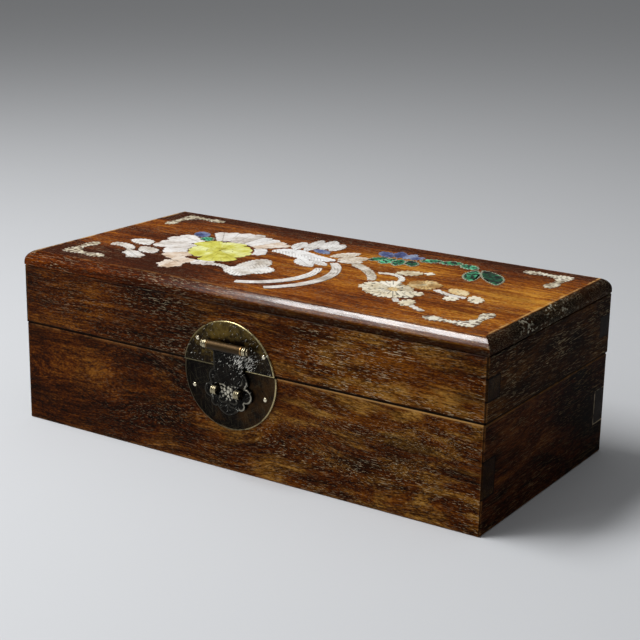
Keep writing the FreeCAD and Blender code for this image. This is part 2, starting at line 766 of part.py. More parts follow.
def band(first, middle, last, widths):
    """Curved strip through three points, with a width at each."""
    spots = [Vector(*point, 0) for point in (first, middle, last)]
    curve = Part.Circle(*spots)
    edges = []
    for spot, width in zip(spots, widths):
        normal = (spot - curve.Center).normalize() * (width / 2)
        edges.append((spot + normal, spot - normal))
    (out_a, in_a), (out_b, in_b), (out_c, in_c) = edges
    return [
        Part.Arc(out_a, out_b, out_c),
        Part.LineSegment(out_c, in_c),
        Part.Arc(in_c, in_b, in_a),
        Part.LineSegment(in_a, out_a),
    ]


CORNER_APEX = (133.5, 60.5)
# One corner scroll: distances in from its apex along the long edge and along the short edge, and the rise.
CORNER_SCROLL = [
    (0.2, 1.6, 0.4), (1.6, 0.2, 0.7), (10.0, 0.8, -0.5), (18.5, 0.8, 1.3), (27.0, 1.2, 1.5),
    (27.0, 5.2, 1.2), (20.0, 5.6, -0.7), (11.5, 5.0, 1.0), (6.6, 6.6, 1.0), (5.0, 11.5, -0.7),
    (5.6, 20.0, 1.2), (5.2, 27.0, 1.5), (1.2, 27.0, 1.3), (0.8, 18.5, -0.5), (0.8, 10.0, 0.7),
]


def corner_scrolls():
    pieces = []
    for x_end in ENDS:
        for y_end in ENDS:
            mirrored = x_end * y_end
            pieces.append(lobed([
                (x_end * (CORNER_APEX[0] - along), y_end * (CORNER_APEX[1] - across), mirrored * rise)
                for along, across, rise in CORNER_SCROLL]))
    return pieces


PEONY = (-60.0, -6.0)
BLOSSOM = (66.0, -21.0)
SMALL_BLOSSOM = (75.0, -3.0)


def ring(centre, petals, lobes=2):
    """Petals round a centre, each (angle, spread, near, far)."""
    return [petal(centre, angle, spread, near, far, lobes) for angle, spread, near, far in petals]


def peony_heart():
    inner = ring(PEONY, [(30, 120, 1.2, 7.5), (150, 120, 1.2, 7.5), (270, 120, 1.2, 7.5)], lobes=3)
    outer = ring(PEONY, [(47, 55, 8.1, 18.5), (99, 49, 8.1, 21.5), (147, 47, 8.1, 24.5), (196, 51, 8.1, 18.0),
                         (248, 53, 8.1, 19.0), (303, 57, 8.1, 26.0), (356, 49, 8.1, 20.0)])
    return inner + outer


def white_petals():
    upper = ring(PEONY, [(29, 38, 20.7, 27.0), (79, 21, 22.1, 43.5), (100, 21, 22.1, 47.5),
                         (120.5, 20, 25.1, 47.5)])
    left = ring(PEONY, [(161, 25, 25.1, 45.5), (187, 27, 19.0, 42.0)])
    return upper + left + ring(PEONY, [(214, 27, 19.7, 32.5), (288, 23, 26.7, 35.0)])


def rosy_petals():
    bud = [
        lobed([(-71.0, -42.0, -0.6), (-65.3, -42.6, -0.3), (-64.6, -56.6, 1.0), (-69.4, -51.5, 0.8)]),
        lobed([(-64.7, -42.6, -0.5), (-58.0, -42.0, 0.9), (-55.2, -49.0, 1.0), (-58.6, -55.4, 0.8),
               (-64.0, -56.6, 0.3)]),
    ]
    return ring(PEONY, [(59, 19, 22.1, 43.0), (240, 25, 19.7, 34.0), (264.5, 24, 26.7, 35.0)]) + bud


def leaf_sprays():
    return [
        lobed([(-118.5, -14.5, 0.9), (-110.0, -19.6, 0.6), (-102.6, -19.0, -0.4), (-104.8, -12.6, 0.8),
               (-111.5, -9.6, 0.9)]),
        lobed([(-102.2, -25.4, 0.3), (-96.4, -34.0, 0.8), (-87.4, -33.6, 1.0), (-91.0, -26.4, 1.0)]),
        lobed([(-104.0, -35.4, 0.8), (-97.0, -37.0, 0.3), (-87.6, -41.6, 1.2), (-86.4, -47.4, 0.8),
               (-93.0, -49.4, 1.2), (-101.4, -42.6, 0.6)]),
        band((-121, -29.2), (-111.5, -28.6), (-104.8, -33.2), (5.0, 4.6, 2.6)),
        band((-43.0, -34.2), (-37, -34.0), (-31.5, -37.2), (2.4, 2.0, 2.4)),
        lobed([(-29.6, -29.6, 0.8), (-21.6, -31.0, 0.1), (-16.6, -22.0, 1.0), (-20.0, -12.6, 1.0),
               (-26.0, -8.6, 1.2), (-30.2, -18.0, 0.8)]),
        lobed([(-20.8, -31.2, -0.3), (-13.8, -38.0, 1.0), (-8.0, -30.6, 1.0), (-10.0, -24.6, 1.0),
               (-16.0, -22.6, -0.1)]),
        lobed([(-30.4, -39.6, 1.0), (-24.0, -44.6, 0.6), (-17.8, -46.6, 0.8), (-14.6, -38.8, -0.3),
               (-21.4, -32.0, 0.5), (-29.6, -31.4, 0.8)]),
    ]


def bird_body():
    body = lobed([
        (-35.0, 12.6, 0.3),
        (-29.6, 11.6, -0.4),
        (-20.0, 8.6, 1.2),
        (3.6, 10.2, 0.4),
        (6.0, 14.5, -0.8),
        (-21.0, 22.4, 0.6),
        (-30.0, 20.5, 1.4),
    ])
    wing = [
        leaf((-27.5, 24.2), (-32, 41), 6.2, 0.5),
        leaf((-20.4, 25), (-26.5, 51.5), 6.8, -0.5),
        leaf((-14.5, 33), (-19.5, 55), 7.4, -0.5),
        leaf((-8.4, 33), (-10.6, 50), 5.6, -0.5),
    ]
    belly = [leaf((-12, 6.4), (3, -5.5), 7.4, -1), leaf((-4, 6.6), (8.2, 1.6), 4.0, 0)]
    return [body] + wing + belly


def bird_coverts():
    return [leaf((7.6, 18), (20, 28.6), 8.5, 0.3), leaf((0, 21.5), (8.6, 36.5), 7.5, -0.6),
            leaf((9.5, 14.2), (21, 19.5), 4.6, -0.4)]


def tail_ribbons():
    return [band((9.5, 8.5), (24.0, -30.0), (9.0, -59.0), (4.6, 5.6, 4.6)),
            band((9.2, -6.5), (13.0, -28.0), (-11.0, -57.5), (3.6, 5.6, 4.4))]


def stems():
    return [
        band((21, 13.5), (34, 5), (46.5, -11), (5.6, 4.6, 3.4)),
        band((42, 4.5), (52, 6.0), (60.4, -4.0), (2.4, 2.2, 2.2)),
        band((85.2, -8.5), (92, -12.0), (105, -14.0), (2.6, 2.4, 2.6)),
        band((76.6, -37.2), (78, -38.6), (80.2, -41.5), (2.2, 2.0, 2.0)),
        band((90, -43.5), (94, -46), (99.5, -49), (2.2, 2.0, 2.4)),
    ]


def right_blossoms():
    petals = ring(BLOSSOM, [(57, 94, 4.0, 10.2), (129, 50, 4.0, 16.5), (179, 50, 4.0, 18.5),
                            (231, 54, 4.0, 15.5), (286, 56, 4.0, 16.5), (342, 56, 4.0, 17.5)])
    return petals + [
        leaf((50, 10), (62, 17.5), 9, 0.5),
        disc((65.4, 19.6), 2.0),
        leaf((98, -15.9), (101.5, -22.5), 6.5, 0),
        leaf((107.5, -8.5), (114.5, -19.5), 6.5, 0.5),
        leaf((84.5, -34), (87, -45.5), 6.5, -0.5),
    ]


def amber_blossoms():
    petals = ring(SMALL_BLOSSOM, [(angle, 72, 2.6, 9.0) for angle in (18, 90, 162, 234, 306)], lobes=1)
    hearts = [disc(BLOSSOM, 3.4), disc(SMALL_BLOSSOM, 2.0)]
    return petals + hearts + [leaf((90.5, -2), (103, -9.5), 8, 0.5)]


def green_leaves():
    return [
        leaf((-80.8, 10.6), (-87.8, 16.4), 6.5, 0),
        leaf((27, 38), (22, 27.5), 6, 0),
        leaf((32, 38), (30.5, 25), 6.5, 0),
        leaf((36.5, 38.5), (39.5, 25.8), 6.2, 0),
        leaf((41.5, 39.5), (48.5, 29.5), 6.0, 0.4),
        leaf((47, 42.5), (56.5, 49.5), 6.4, 0.5),
        leaf((57.5, 46.5), (69, 50.5), 7.0, 0.3),
        leaf((70, 49.5), (81, 44), 7.0, 0.3),
        leaf((83, 41), (90.5, 19.5), 7.5, -1.0),
        leaf((86.5, 43.5), (105.5, 20.5), 9.5, 1.8),
    ]


def blue_leaves():
    return [
        leaf((-88.9, 17.2), (-99, 26.5), 8.0, 0.5),
        leaf((-17.2, 30.0), (-5.5, 25.4), 5.6, 0.5),
        leaf((28, 41), (17.5, 49), 7.5, 0),
        leaf((32, 42), (27, 55), 6.5, 0),
        leaf((36, 42), (37, 54.5), 5.5, 0),
        leaf((39.5, 43), (44.2, 50.5), 4.4, 0),
    ]


def inlay(label, pieces):
    """Pieces of one material, each let into the top board."""
    body = new_body(label)
    sketch = sketch_on(body, "XY_Plane", "inlayTop")
    for edges in pieces:
        for edge in edges:
            sketch.addGeometry(edge)
    pad(body, sketch, "inlayDeep + inlayProud", turned=True)
    return body


INLAYS = {
    "inlay_corner_scrolls": corner_scrolls,
    "inlay_peony_heart": peony_heart,
    "inlay_white_petals": white_petals,
    "inlay_rosy_petals": rosy_petals,
    "inlay_leaf_sprays": leaf_sprays,
    "inlay_bird": bird_body,
    "inlay_bird_coverts": bird_coverts,
    "inlay_tail_ribbons": tail_ribbons,
    "inlay_stems": stems,
    "inlay_right_blossoms": right_blossoms,
    "inlay_amber_blossoms": amber_blossoms,
    "inlay_green_leaves": green_leaves,
    "inlay_blue_leaves": blue_leaves,
}


def write_parts():
    """Check every object, then write each sub-part that nothing else is built from."""
    doc.recompute()
    for thing in doc.Objects:
        if "Invalid" in thing.State or "Error" in thing.State:
            raise RuntimeError(f"{thing.Label}: {thing.State}")
    used = {"inlay_tools", "top_panel_board"}
    for fused in doc.findObjects("Part::MultiFuse"):
        used.update(piece.Name for piece in fused.Shapes)
    bodies = [thing for thing in doc.Objects if thing.TypeId.startswith(("Part::", "PartDesign::Body"))]
    parts = [thing for thing in bodies if thing.Name not in used]
    os.makedirs("parts", exist_ok=True)
    for part in parts:
        if part.Shape.isNull() or not part.Shape.isValid():
            raise RuntimeError(f"{part.Label}: bad shape")
        part.Shape.exportStep(f"parts/{part.Label}.step")
        box = part.Shape.BoundBox
        print(f"{part.Label:26} {len(part.Shape.Solids):3} solids {part.Shape.Volume:10.1f} mm3 "
              f"x {box.XMin:8.2f}..{box.XMax:8.2f} y {box.YMin:7.2f}..{box.YMax:7.2f} "
              f"z {box.ZMin:6.2f}..{box.ZMax:6.2f}")
    print(len(parts), "parts")


sheet = make_sheet()
base_boards()
bottom_panel()
lid_boards()
lock()
hinges()
top_panel([inlay(label, drawing()) for label, drawing in INLAYS.items()])
write_parts()
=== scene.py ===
import math
from functools import partial
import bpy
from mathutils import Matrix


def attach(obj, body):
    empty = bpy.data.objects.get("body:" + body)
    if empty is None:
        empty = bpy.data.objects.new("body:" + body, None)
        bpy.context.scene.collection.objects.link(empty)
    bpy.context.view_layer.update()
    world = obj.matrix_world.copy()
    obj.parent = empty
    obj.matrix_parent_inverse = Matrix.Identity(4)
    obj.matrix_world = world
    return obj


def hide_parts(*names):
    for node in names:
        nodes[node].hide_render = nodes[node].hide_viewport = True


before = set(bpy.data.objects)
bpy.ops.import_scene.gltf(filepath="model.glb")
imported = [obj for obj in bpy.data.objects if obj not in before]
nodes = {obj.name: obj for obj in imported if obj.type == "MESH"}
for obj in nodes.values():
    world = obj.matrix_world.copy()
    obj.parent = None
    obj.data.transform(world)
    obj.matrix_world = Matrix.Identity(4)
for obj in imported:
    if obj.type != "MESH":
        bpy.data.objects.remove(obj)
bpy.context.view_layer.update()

from types import SimpleNamespace

import bmesh
import bpy
from mathutils import Matrix, Vector, geometry, noise

mm = 0.001

print("frame loaded:", len(nodes), "nodes")

# the box's own faces, in millimetres, that wear and grime follow
boxFaces = {
    "halfLength": 150.0,
    "halfDepth": 73.75,
    "seam": 58.5,
    "top": 101.4,
    "arrisInset": 4.84,
}

# the lock, in millimetres: the lower half plate's middle and radius, how far the upper half is shifted, the
# flap's two faces, and where the rod, the staples and the eyes are
lock = {
    "middle": (-1.5, 54.2),
    "upperShift": -1.0,
    "radius": 30.2,
    "flapBack": -75.1,
    "flapFace": -76.3,
    "rodY": -77.65,
    "rodZ": 70.6,
    "stapleY": -78.1,
    "stapleZ": 46.0,
    "stapleX": 7.6,
    "rodEyeX": 12.95,
}
lockX, lockZ = lock["middle"]
rodX = lockX + lock["upperShift"]

# words for the node settings that come up often: the node, its setting and the value
nodeWords = {
    "plus": ("Math", "operation", "ADD"),
    "minus": ("Math", "operation", "SUBTRACT"),
    "times": ("Math", "operation", "MULTIPLY"),
    "timesPlus": ("Math", "operation", "MULTIPLY_ADD"),
    "least": ("Math", "operation", "MINIMUM"),
    "most": ("Math", "operation", "MAXIMUM"),
    "unsigned": ("Math", "operation", "ABSOLUTE"),
    "sine": ("Math", "operation", "SINE"),
    "scaled": ("VectorMath", "operation", "MULTIPLY"),
    "scaledPlus": ("VectorMath", "operation", "MULTIPLY_ADD"),
    "eased": ("MapRange", "interpolation_type", "SMOOTHSTEP"),
    "painted": ("Mix", "data_type", "RGBA"),
}


def linearColour(hexText):
    # sRGB hex to the linear values that shaders take
    values = [int(hexText[i:i + 2], 16) / 255 for i in (1, 3, 5)]
    return tuple(v / 12.92 if v <= 0.04045 else ((v + 0.055) / 1.055) ** 2.4 for v in values) + (1.0,)


def addNode(tree, kind, *inputs, stops=(), **settings):
    # inputs are numbers, colours, or nodes and sockets to link from. They go to the sockets in use, in order,
    # or by name where they come in a dictionary. Stops are the places and colours of a ramp.
    kind, *preset = nodeWords.get(kind, (kind,))
    whole = kind.startswith(("GeometryNode", "FunctionNode", "NodeGroup"))
    node = tree.nodes.new(kind if whole else "ShaderNode" + kind)
    if preset:
        setattr(node, *preset)
    for name, value in settings.items():
        setattr(node, name, value)
    sockets = [socket for socket in node.inputs if socket.enabled]
    byName = {socket.name: socket for socket in reversed(sockets)}
    named = inputs and isinstance(inputs[0], dict)
    for key, value in inputs[0].items() if named else enumerate(inputs):
        socket = byName[key] if named else sockets[key]
        for source in value if isinstance(value, list) else [value]:
            if isinstance(source, bpy.types.Node):
                source = next(output for output in source.outputs if output.enabled)
            if isinstance(source, bpy.types.NodeSocket):
                tree.links.new(source, socket)
            else:
                socket.default_value = linearColour(source) if isinstance(source, str) else source
    for number, (place, colour) in enumerate(stops):
        ramp = node.color_ramp.elements
        stop = ramp[number] if number < 2 else ramp.new(place)
        stop.position = place
        stop.color = linearColour(colour) if isinstance(colour, str) else (colour, colour, colour, 1.0)
    return node


def newMaterial(name):
    # an empty material, the function that adds its nodes, and the place on the object in millimetres
    made = bpy.data.materials.new(name)
    made.use_nodes = True
    made.node_tree.nodes.clear()
    add = partial(addNode, made.node_tree)
    return made, add, add("scaled", add("TexCoord").outputs["Object"], (1 / mm,) * 3)


def surfaced(made, add, strength, depth, height, values):
    # the end of a material: its relief, its shader and its output
    bump = add("Bump", {"Strength": strength, "Distance": depth, "Height": height})
    add("OutputMaterial", {"Surface": add("BsdfPrincipled", {"Normal": bump, **values})})
    return made


def clamped(value):
    return max(0.0, min(1.0, value))


def setRub(mesh, rubAt):
    # how much each point has been rubbed bright, from 0 to 1
    layer = mesh.attributes.new("rub", "FLOAT", "POINT")
    for vertex, value in zip(mesh.vertices, layer.data):
        value.value = rubAt(vertex.co / mm)


def meshFrom(name, points, faces):
    # points in millimetres
    mesh = bpy.data.meshes.new(name)
    mesh.from_pydata([tuple(c * mm for c in point) for point in points], [], faces)
    mesh.validate()
    return mesh


def reshape(mesh, change):
    # a change made to a mesh, and its faces turned outwards
    shape = bmesh.new()
    shape.from_mesh(mesh)
    change(shape)
    bmesh.ops.recalc_face_normals(shape, faces=shape.faces)
    shape.to_mesh(mesh)
    shape.free()


def joinDoubles(shape):
    bmesh.ops.remove_doubles(shape, verts=shape.verts, dist=1e-6)


def linked(name, data):
    thing = bpy.data.objects.new(name, data)
    bpy.context.scene.collection.objects.link(thing)
    return thing


def newObject(name, mesh, made, body, replaced, smooth=True):
    # an object of one material, with the body it rides on and the CAD node it replaces
    if "custom_normal" in mesh.attributes:
        mesh.attributes.remove(mesh.attributes["custom_normal"])
    for face in mesh.polygons:
        face.use_smooth = smooth
    mesh.materials.clear()
    mesh.materials.append(made)
    thing = linked(name, mesh)
    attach(thing, body)
    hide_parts(replaced)
    return thing


# old rosewood boards, planed, oiled and waxed by hand: warm orange-brown with darker rings along the board,
# pores filled with pale dust and wax, a low shine, lighter worn arrises, black grime in the seam and joints.
# Some light and shade is painted into the colour: shade along the seam, under the moulding and on the right,
# and highlights on the base's upper arris and round the base's back fingers
rosewood = {
    "wander": (170.0, 60.0),     # length and width over which the rings wander, mm
    # each layer: what it follows, its length and width in mm, its detail, and for some where it shows: from
    # and to which noise value, and from and to which strength. Pores are drawn a little coarse, to be seen.
    "layers": {
        "cloud": ("straight", 95.0, 38.0, 3.0),
        "streak": ("leaning", 17.0, 1.7, 3.0),
        "fibre": ("bent", 70.0, 1.0, 3.0),
        "hair": ("bent", 20.0, 0.60, 2.0),
        "speckle": ("leaning", 1.9, 0.55, 2.0),
        "glow": ("bent", 24.0, 8.0, 4.0),
        "stain": ("bent", 46.0, 12.0, 4.0),
        "drift": ("straight", 60.0, 16.0, 3.0, 0.32, 0.66, 0.12, 1.0),
        "pore": ("leaning", 3.4, 0.32, 1.0, 0.655, 0.69),
        "longPore": ("leaning", 6.0, 0.36, 1.0, 0.66, 0.70),
        "openPore": ("leaning", 5.0, 0.45, 1.0, 0.60, 0.68),
        "sag": ("straight", 26.0, 9.0, 2.0),
    },
    "strengths": {"streak": 0.45, "fibre": 0.4, "hair": 0.4, "speckle": 0.7, "cloud": 0.9},
    "toneStops": (0.24, 0.42, 0.58, 0.80),
    "goldenStops": (0.28, 0.42, 0.56, 0.74),
    "goldenColours": ("#231104", "#492b0b", "#744d19", "#a67b37"),
    "poreColour": "#c9b592",
    "wornColour": "#8f5f30",
    "lipWearAndHighlightColour": "#a37a42",
    "grimeAndShadeColour": "#070403",
    "fingerWaxAndGlint": 0.75,           # how pale the joints of the base's back fingers show: old wax, and painted glints on their edges
    "insideColour": "#4a2f1c",
    "endColour": "#0a0603",
    "frontLipWearAndHighlight": (0.0, 0.8),      # how pale the base's upper edge is painted at the front, from left to right: wear and a painted highlight
    "lipWearAndHighlight": (0.12, 0.12),
    "lidSeam": 1.7,              # how far grime and painted shade reach from the seam, mm
    "baseSeam": 0.4,
    "breakUp": 7.0,              # size of the patches in which wear and shine vary, mm
    "bumpDepth": 0.00022,
    "fingerDeep": 13.0,
    "baseFinger": (19.5, 39.0),
    "lidFinger": (69.967, 81.433),
}

# what the boards have in common; ends and across say how the tone changes along the board and over the depth
plainBoard = {
    "along": "X", "swing": 14.0, "spacing": 6.0, "rings": 0.6, "lean": 0.25, "stretch": 1.0,
    "ends": (0.5,) * 4, "across": (0.5,) * 5, "golden": 0.0, "pores": 0.8, "poreEnds": (1.0, 1.0),
    "poreColour": rosewood["poreColour"], "stain": 0.4, "gloss": 0.06, "rough": 0.38}
frontBoard = {**plainBoard, "stain": 0.6, "gloss": 0.03, "rough": 0.36}
leftBoard = {**plainBoard, "along": "Y", "poreColour": "#98805e", "stain": 0.5, "rough": 0.5}
rightBoard = {**plainBoard, "along": "Y", "lean": 0.1, "stretch": 1.7, "gloss": 0.02, "rough": 0.6}

# each board: where it was cut from the tree, how far from the pith, how its rings wander and show, its
# colours from dark to light, and its pores, stain and gloss
boards = {
    # the top grows lighter towards the right: its own tone, and painted sheen where the light falls
    "top_panel": {
        **plainBoard, "shift": (40, 18, -60), "pith": 44, "swing": 9.0, "spacing": 5.0, "rings": 0.36,
        "colours": ("#351404", "#642c07", "#93500e", "#c78a30"), "ends": (0.36, 0.40, 0.58, 0.62),
        "across": (0.36, 0.42, 0.60, 0.47, 0.15), "pores": 0.5, "stain": 0.3, "gloss": 0.03, "rough": 0.27},
    "lid_front_board": {
        **frontBoard, "shift": (310, 5, -118), "pith": 26, "swing": 10.0, "rings": 0.3,
        "colours": ("#0b0401", "#2b1002", "#4b2206", "#7c4810"), "ends": (0.43, 0.45, 0.48, 0.53),
        "golden": 0.62, "pores": 1.3, "poreEnds": (0.12, 1.2)},
    "lid_back_board": {
        **plainBoard, "shift": (-420, 60, -120), "pith": 30, "swing": 16.0, "rings": 0.7, "pores": 0.9,
        "colours": ("#120601", "#321503", "#4e2808", "#754a1a")},
    "lid_left_board": {
        **leftBoard, "shift": (250, 40, -118), "pith": 28,
        "colours": ("#0e0502", "#241003", "#3d2108", "#603d16")},
    # the right-hand boards take darker colours than the left: their own darker tone, and painted shade
    "lid_right_board": {
        **rightBoard, "shift": (-130, -20, -112), "pith": 28, "ends": (0.54, 0.54, 0.48, 0.44),
        "colours": ("#070301", "#190a02", "#2e1605", "#523312"), "pores": 1.05, "poreColour": "#b7a480",
        "stain": 0.7},
    "base_front_board": {
        **frontBoard, "shift": (730, 24, -62), "pith": 22, "swing": 30.0, "spacing": 8.0, "rings": 0.5,
        "colours": ("#0c0401", "#2c1002", "#4a2205", "#754310"), "ends": (0.43, 0.46, 0.50, 0.55),
        "golden": 0.85, "lean": 0.6, "pores": 1.05, "poreEnds": (-0.08, 0.9)},
    "base_back_board": {
        **plainBoard, "shift": (-860, -34, -70), "pith": 26, "swing": 20.0, "spacing": 7.0, "rings": 0.7,
        "colours": ("#130601", "#301403", "#4a2707", "#6e471a")},
    "base_left_board": {
        **leftBoard, "shift": (560, -12, -66), "pith": 30, "pores": 0.6,
        "colours": ("#0e0502", "#241003", "#3a2007", "#5a3914")},
    # darker than the left board: its own darker tone, and painted shade
    "base_right_board": {
        **rightBoard, "shift": (-640, 32, -74), "pith": 26, "ends": (0.56, 0.52, 0.46, 0.42),
        "colours": ("#0c0502", "#280f05", "#43200b", "#633a17"), "poreColour": "#927a58", "stain": 0.8},
    "bottom_panel": {
        **plainBoard, "shift": (90, -60, -30), "pith": 40, "swing": 12.0, "rings": 0.7, "pores": 0.7,
        "colours": ("#20110a", "#382012", "#4f311b", "#664528"), "stain": 0.3, "gloss": 0.08, "rough": 0.55},
}


def edgeDistances(add, spot):
    # how far a point is from the box's outer faces and edges, in millimetres
    x, y, z = add("SeparateXYZ", spot).outputs
    acrossX = add("minus", boxFaces["halfLength"] + 0.25, add("unsigned", x))
    acrossY = add("minus", boxFaces["halfDepth"], add("unsigned", y))
    fromSeam = add("unsigned", add("minus", z, boxFaces["seam"]))
    near = add("least", acrossX, acrossY)
    upright = add("most", acrossX, acrossY)
    level = add("most", near, add("least", fromSeam, z))
    return SimpleNamespace(x=x, y=y, z=z, acrossX=acrossX, acrossY=acrossY, near=near, fromSeam=fromSeam,
                           edge=add("least", upright, level))


def fingerPlaces(add, at):
    # on the two ends of the box: a line round each finger's end grain, and the end grain itself
    outside = []
    for low, high in (rosewood["baseFinger"], rosewood["lidFinger"]):
        fromMiddle = add("unsigned", add("minus", at.z, (low + high) / 2))
        outUp = add("minus", fromMiddle, (high - low) / 2)
        outAcross = add("minus", at.acrossY, rosewood["fingerDeep"])
        outside.append(add("most", outUp, outAcross))
    closest = add("unsigned", add("least", *outside))
    onEnd = add("eased", at.acrossX, 1.2, 0.8)
    line = add("times", add("eased", closest, 0.6, 0.2), onEnd)
    return line, onEnd


def woodFigure(add, board, grain, at):
    # rings round a pith behind the board, wandering along its length, with streaks and fibres laid over them
    length, width = rosewood["wander"]
    wander = add("scaled", grain, (1 / length, 1 / width, 1 / width))
    wander = add("TexNoise", wander, 1.0, 2.0).outputs["Color"]
    swing = board["swing"]
    swung = add("scaledPlus", wander, (0.0, 2 * swing, 2 * swing), (0.0, -swing, -swing))
    bent = add("VectorMath", grain, swung, operation="ADD")
    leaning = add("Mix", board["lean"], grain, bent, data_type="VECTOR")
    paths = {"straight": grain, "bent": bent, "leaning": leaning}
    layers = {}
    for name, (path, long, wide, detail, *shows) in rosewood["layers"].items():
        long *= board["stretch"] if path == "leaning" else 1.0
        squeezed = add("scaled", paths[path], (1 / long, 1 / wide, 1 / wide))
        layers[name] = add("TexNoise", squeezed, 1.0, detail, 0.55)
        if shows:
            layers[name] = add("eased", layers[name], *shows)
    around = add("scaledPlus", bent, (0.0, 1.0, 1.0), (0.0, board["pith"], 0.0))
    turns = add("times", add("VectorMath", around, operation="LENGTH"), 1 / board["spacing"])
    layers["rings"] = add("TexNoise", turns, 1.0, 4.0, 0.62, noise_dimensions="1D")
    alongX, alongY = (at.x, boxFaces["halfLength"]), (at.y, boxFaces["halfDepth"])
    ramps = []
    for (place, reach), greys in ((alongX if board["along"] == "X" else alongY, board["ends"]),
                                  (alongY, board["across"])):
        stops = [(i / (len(greys) - 1), grey) for i, grey in enumerate(greys)]
        ramps.append(add("ValToRGB", add("MapRange", place, -reach, reach), stops=stops))
    tone = add("timesPlus", ramps[0], 0.9, add("timesPlus", ramps[1], 1.0, -0.45))
    for name, strength in {"rings": board["rings"], **rosewood["strengths"]}.items():
        tone = add("timesPlus", add("minus", layers[name], 0.5), strength, tone)
    return tone, layers


def woodMaterial(boardName, board):
    made, add, spot = newMaterial("oiledRosewood_" + boardName)
    turn = 0.0 if board["along"] == "X" else math.pi / 2
    grain = add("Mapping", add("TexCoord").outputs["Object"], board["shift"], (0.0, 0.0, turn), (1 / mm,) * 3)
    at = edgeDistances(add, spot)
    tone, layers = woodFigure(add, board, grain, at)
    dark = board["colours"][0]
    colour = add("ValToRGB", tone, stops=zip(rosewood["toneStops"], board["colours"]))
    breakUp = add("TexNoise", spot, 1 / rosewood["breakUp"], 4.0, 0.65)
    rough = add("timesPlus", breakUp, 0.22, board["rough"] - 0.11)
    onLid, onBase, onTop = boardName.startswith("lid"), boardName.startswith("base"), boardName == "top_panel"

    # patches of golden sheen, more towards the right; black stains where the wax has taken up dirt
    stain = add("eased", layers["stain"], 0.50, 0.68, 0.0, board["stain"])
    if board["golden"]:
        towardsRight = add("MapRange", at.x, -80.0, 90.0)
        golden = add("ValToRGB", tone, stops=zip(rosewood["goldenStops"], rosewood["goldenColours"]))
        glow = add("eased", layers["glow"], 0.44, 0.64, 0.0, board["golden"])
        glow = add("times", glow, add("MapRange", towardsRight, 0.0, 1.0, 0.1, 1.0))
        colour = add("painted", glow, colour, golden)
        stain = add("times", stain, add("MapRange", towardsRight, 0.0, 1.0, 0.2, 1.0))
    colour = add("painted", stain, colour, dark)
    crowd = add("MapRange", at.x, -boxFaces["halfLength"], boxFaces["halfLength"], *board["poreEnds"])
    if onTop:
        mould = mouldedPlaces(add, at, spot)
        colour = mouldedTone(add, mould, at, colour)
        crowd = add("timesPlus", mould.beyond, 1.0, crowd)

    # pores: dashes along the grain, in drifts; some open and dark, the rest filled and pale. The inside was
    # only oiled: duller and plainer.
    pores = add("times", add("most", layers["pore"], layers["longPore"]), layers["drift"])
    pores = add("times", pores, crowd)
    filled = add("least", add("times", pores, board["pores"] * 0.7), 0.92)
    inside = add("times", add("eased", at.near, 8.0, 11.0), add("eased", at.z, 97.0, 94.5))
    for share, paint in ((add("times", layers["openPore"], 0.6), dark), (filled, board["poreColour"]),
                         (add("times", inside, 0.6), rosewood["insideColour"])):
        colour = add("painted", share, colour, paint)

    # worn arrises, grime in the seam and round the joints, painted shade along the seam and under the
    # moulding
    ragged = add("eased", breakUp, 0.38, 0.62)
    wax = 0.0
    if onTop:
        colour, rough, wax = mouldedWear(add, mould, at, ragged, colour, rough)
    else:
        worn = add("times", add("eased", at.edge, 2.2, 0.2, 0.0, 0.45), ragged)
        colour = add("painted", worn, colour, rosewood["wornColour"])
    if onBase:
        # the base's upper arris painted pale: worn, and a painted highlight where it catches the light, most
        # at the front right
        lipWearAndHighlight = add("times", add("eased", at.fromSeam, 1.25, 0.8), add("eased", at.near, 3.0, 1.0))
        shown = rosewood["frontLipWearAndHighlight"] if boardName == "base_front_board" else rosewood["lipWearAndHighlight"]
        lipWearAndHighlight = add("times", lipWearAndHighlight, add("MapRange", at.x, -10.0, 110.0, *shown))
        colour = add("painted", lipWearAndHighlight, colour, rosewood["lipWearAndHighlightColour"])
    if onLid or onBase:
        reach = rosewood["lidSeam"] if onLid else rosewood["baseSeam"]
        # beside the seam: grime, and painted shade standing in for the dark gap between lid and base
        seam = add("eased", at.fromSeam, reach, reach * 0.45, 0.0, 0.96)
        line, onEnd = fingerPlaces(add, at)
        grimeAndShade = add("most", add("times", seam, add("eased", at.near, 3.5, 1.2, 0.3, 1.0)), line)
        if board["along"] == "X":
            colour = add("painted", add("times", onEnd, 0.82), colour, rosewood["endColour"])
            rough = add("timesPlus", onEnd, 0.2, rough)
        if onLid:
            # painted shade: a dark band on the lid boards just under the top's moulding, stronger to the
            # right
            below = add("eased", add("timesPlus", breakUp, 3.0, at.z), 92.2, 94.6)
            below = add("times", below, add("MapRange", at.x, -110.0, 60.0, 0.12, 0.55))
            grimeAndShade = add("most", grimeAndShade, below)
        colour = add("painted", grimeAndShade, colour, rosewood["grimeAndShadeColour"])
        if onBase:
            # pale lines round the base's back fingers: old wax, with painted glints on the joint edges
            waxAndGlint = add("MapRange", at.y, 48.0, 60.0, 0.0, rosewood["fingerWaxAndGlint"])
            waxAndGlint = add("times", add("times", waxAndGlint, add("MapRange", layers["glow"], 0.42, 0.56)), line)
            colour = add("painted", waxAndGlint, colour, rosewood["poreColour"])

    # relief: pores sink in, fibres stand a little, the surface has sagged and been rubbed
    height = add("timesPlus", pores, -0.6, add("times", layers["fibre"], 0.35))
    for layer, strength in ((layers["openPore"], -0.5), (layers["sag"], 1.1), (breakUp, 0.3)):
        height = add("timesPlus", layer, strength, height)
    for layer in (pores, inside):
        rough = add("timesPlus", layer, 0.25, rough)
    return surfaced(made, add, 0.6, rosewood["bumpDepth"], height, {
        "Base Color": colour, "Roughness": rough, "IOR": 1.48, "Specular IOR Level": board["gloss"],
        "Coat Weight": wax, "Coat Roughness": moulding["polish"]})


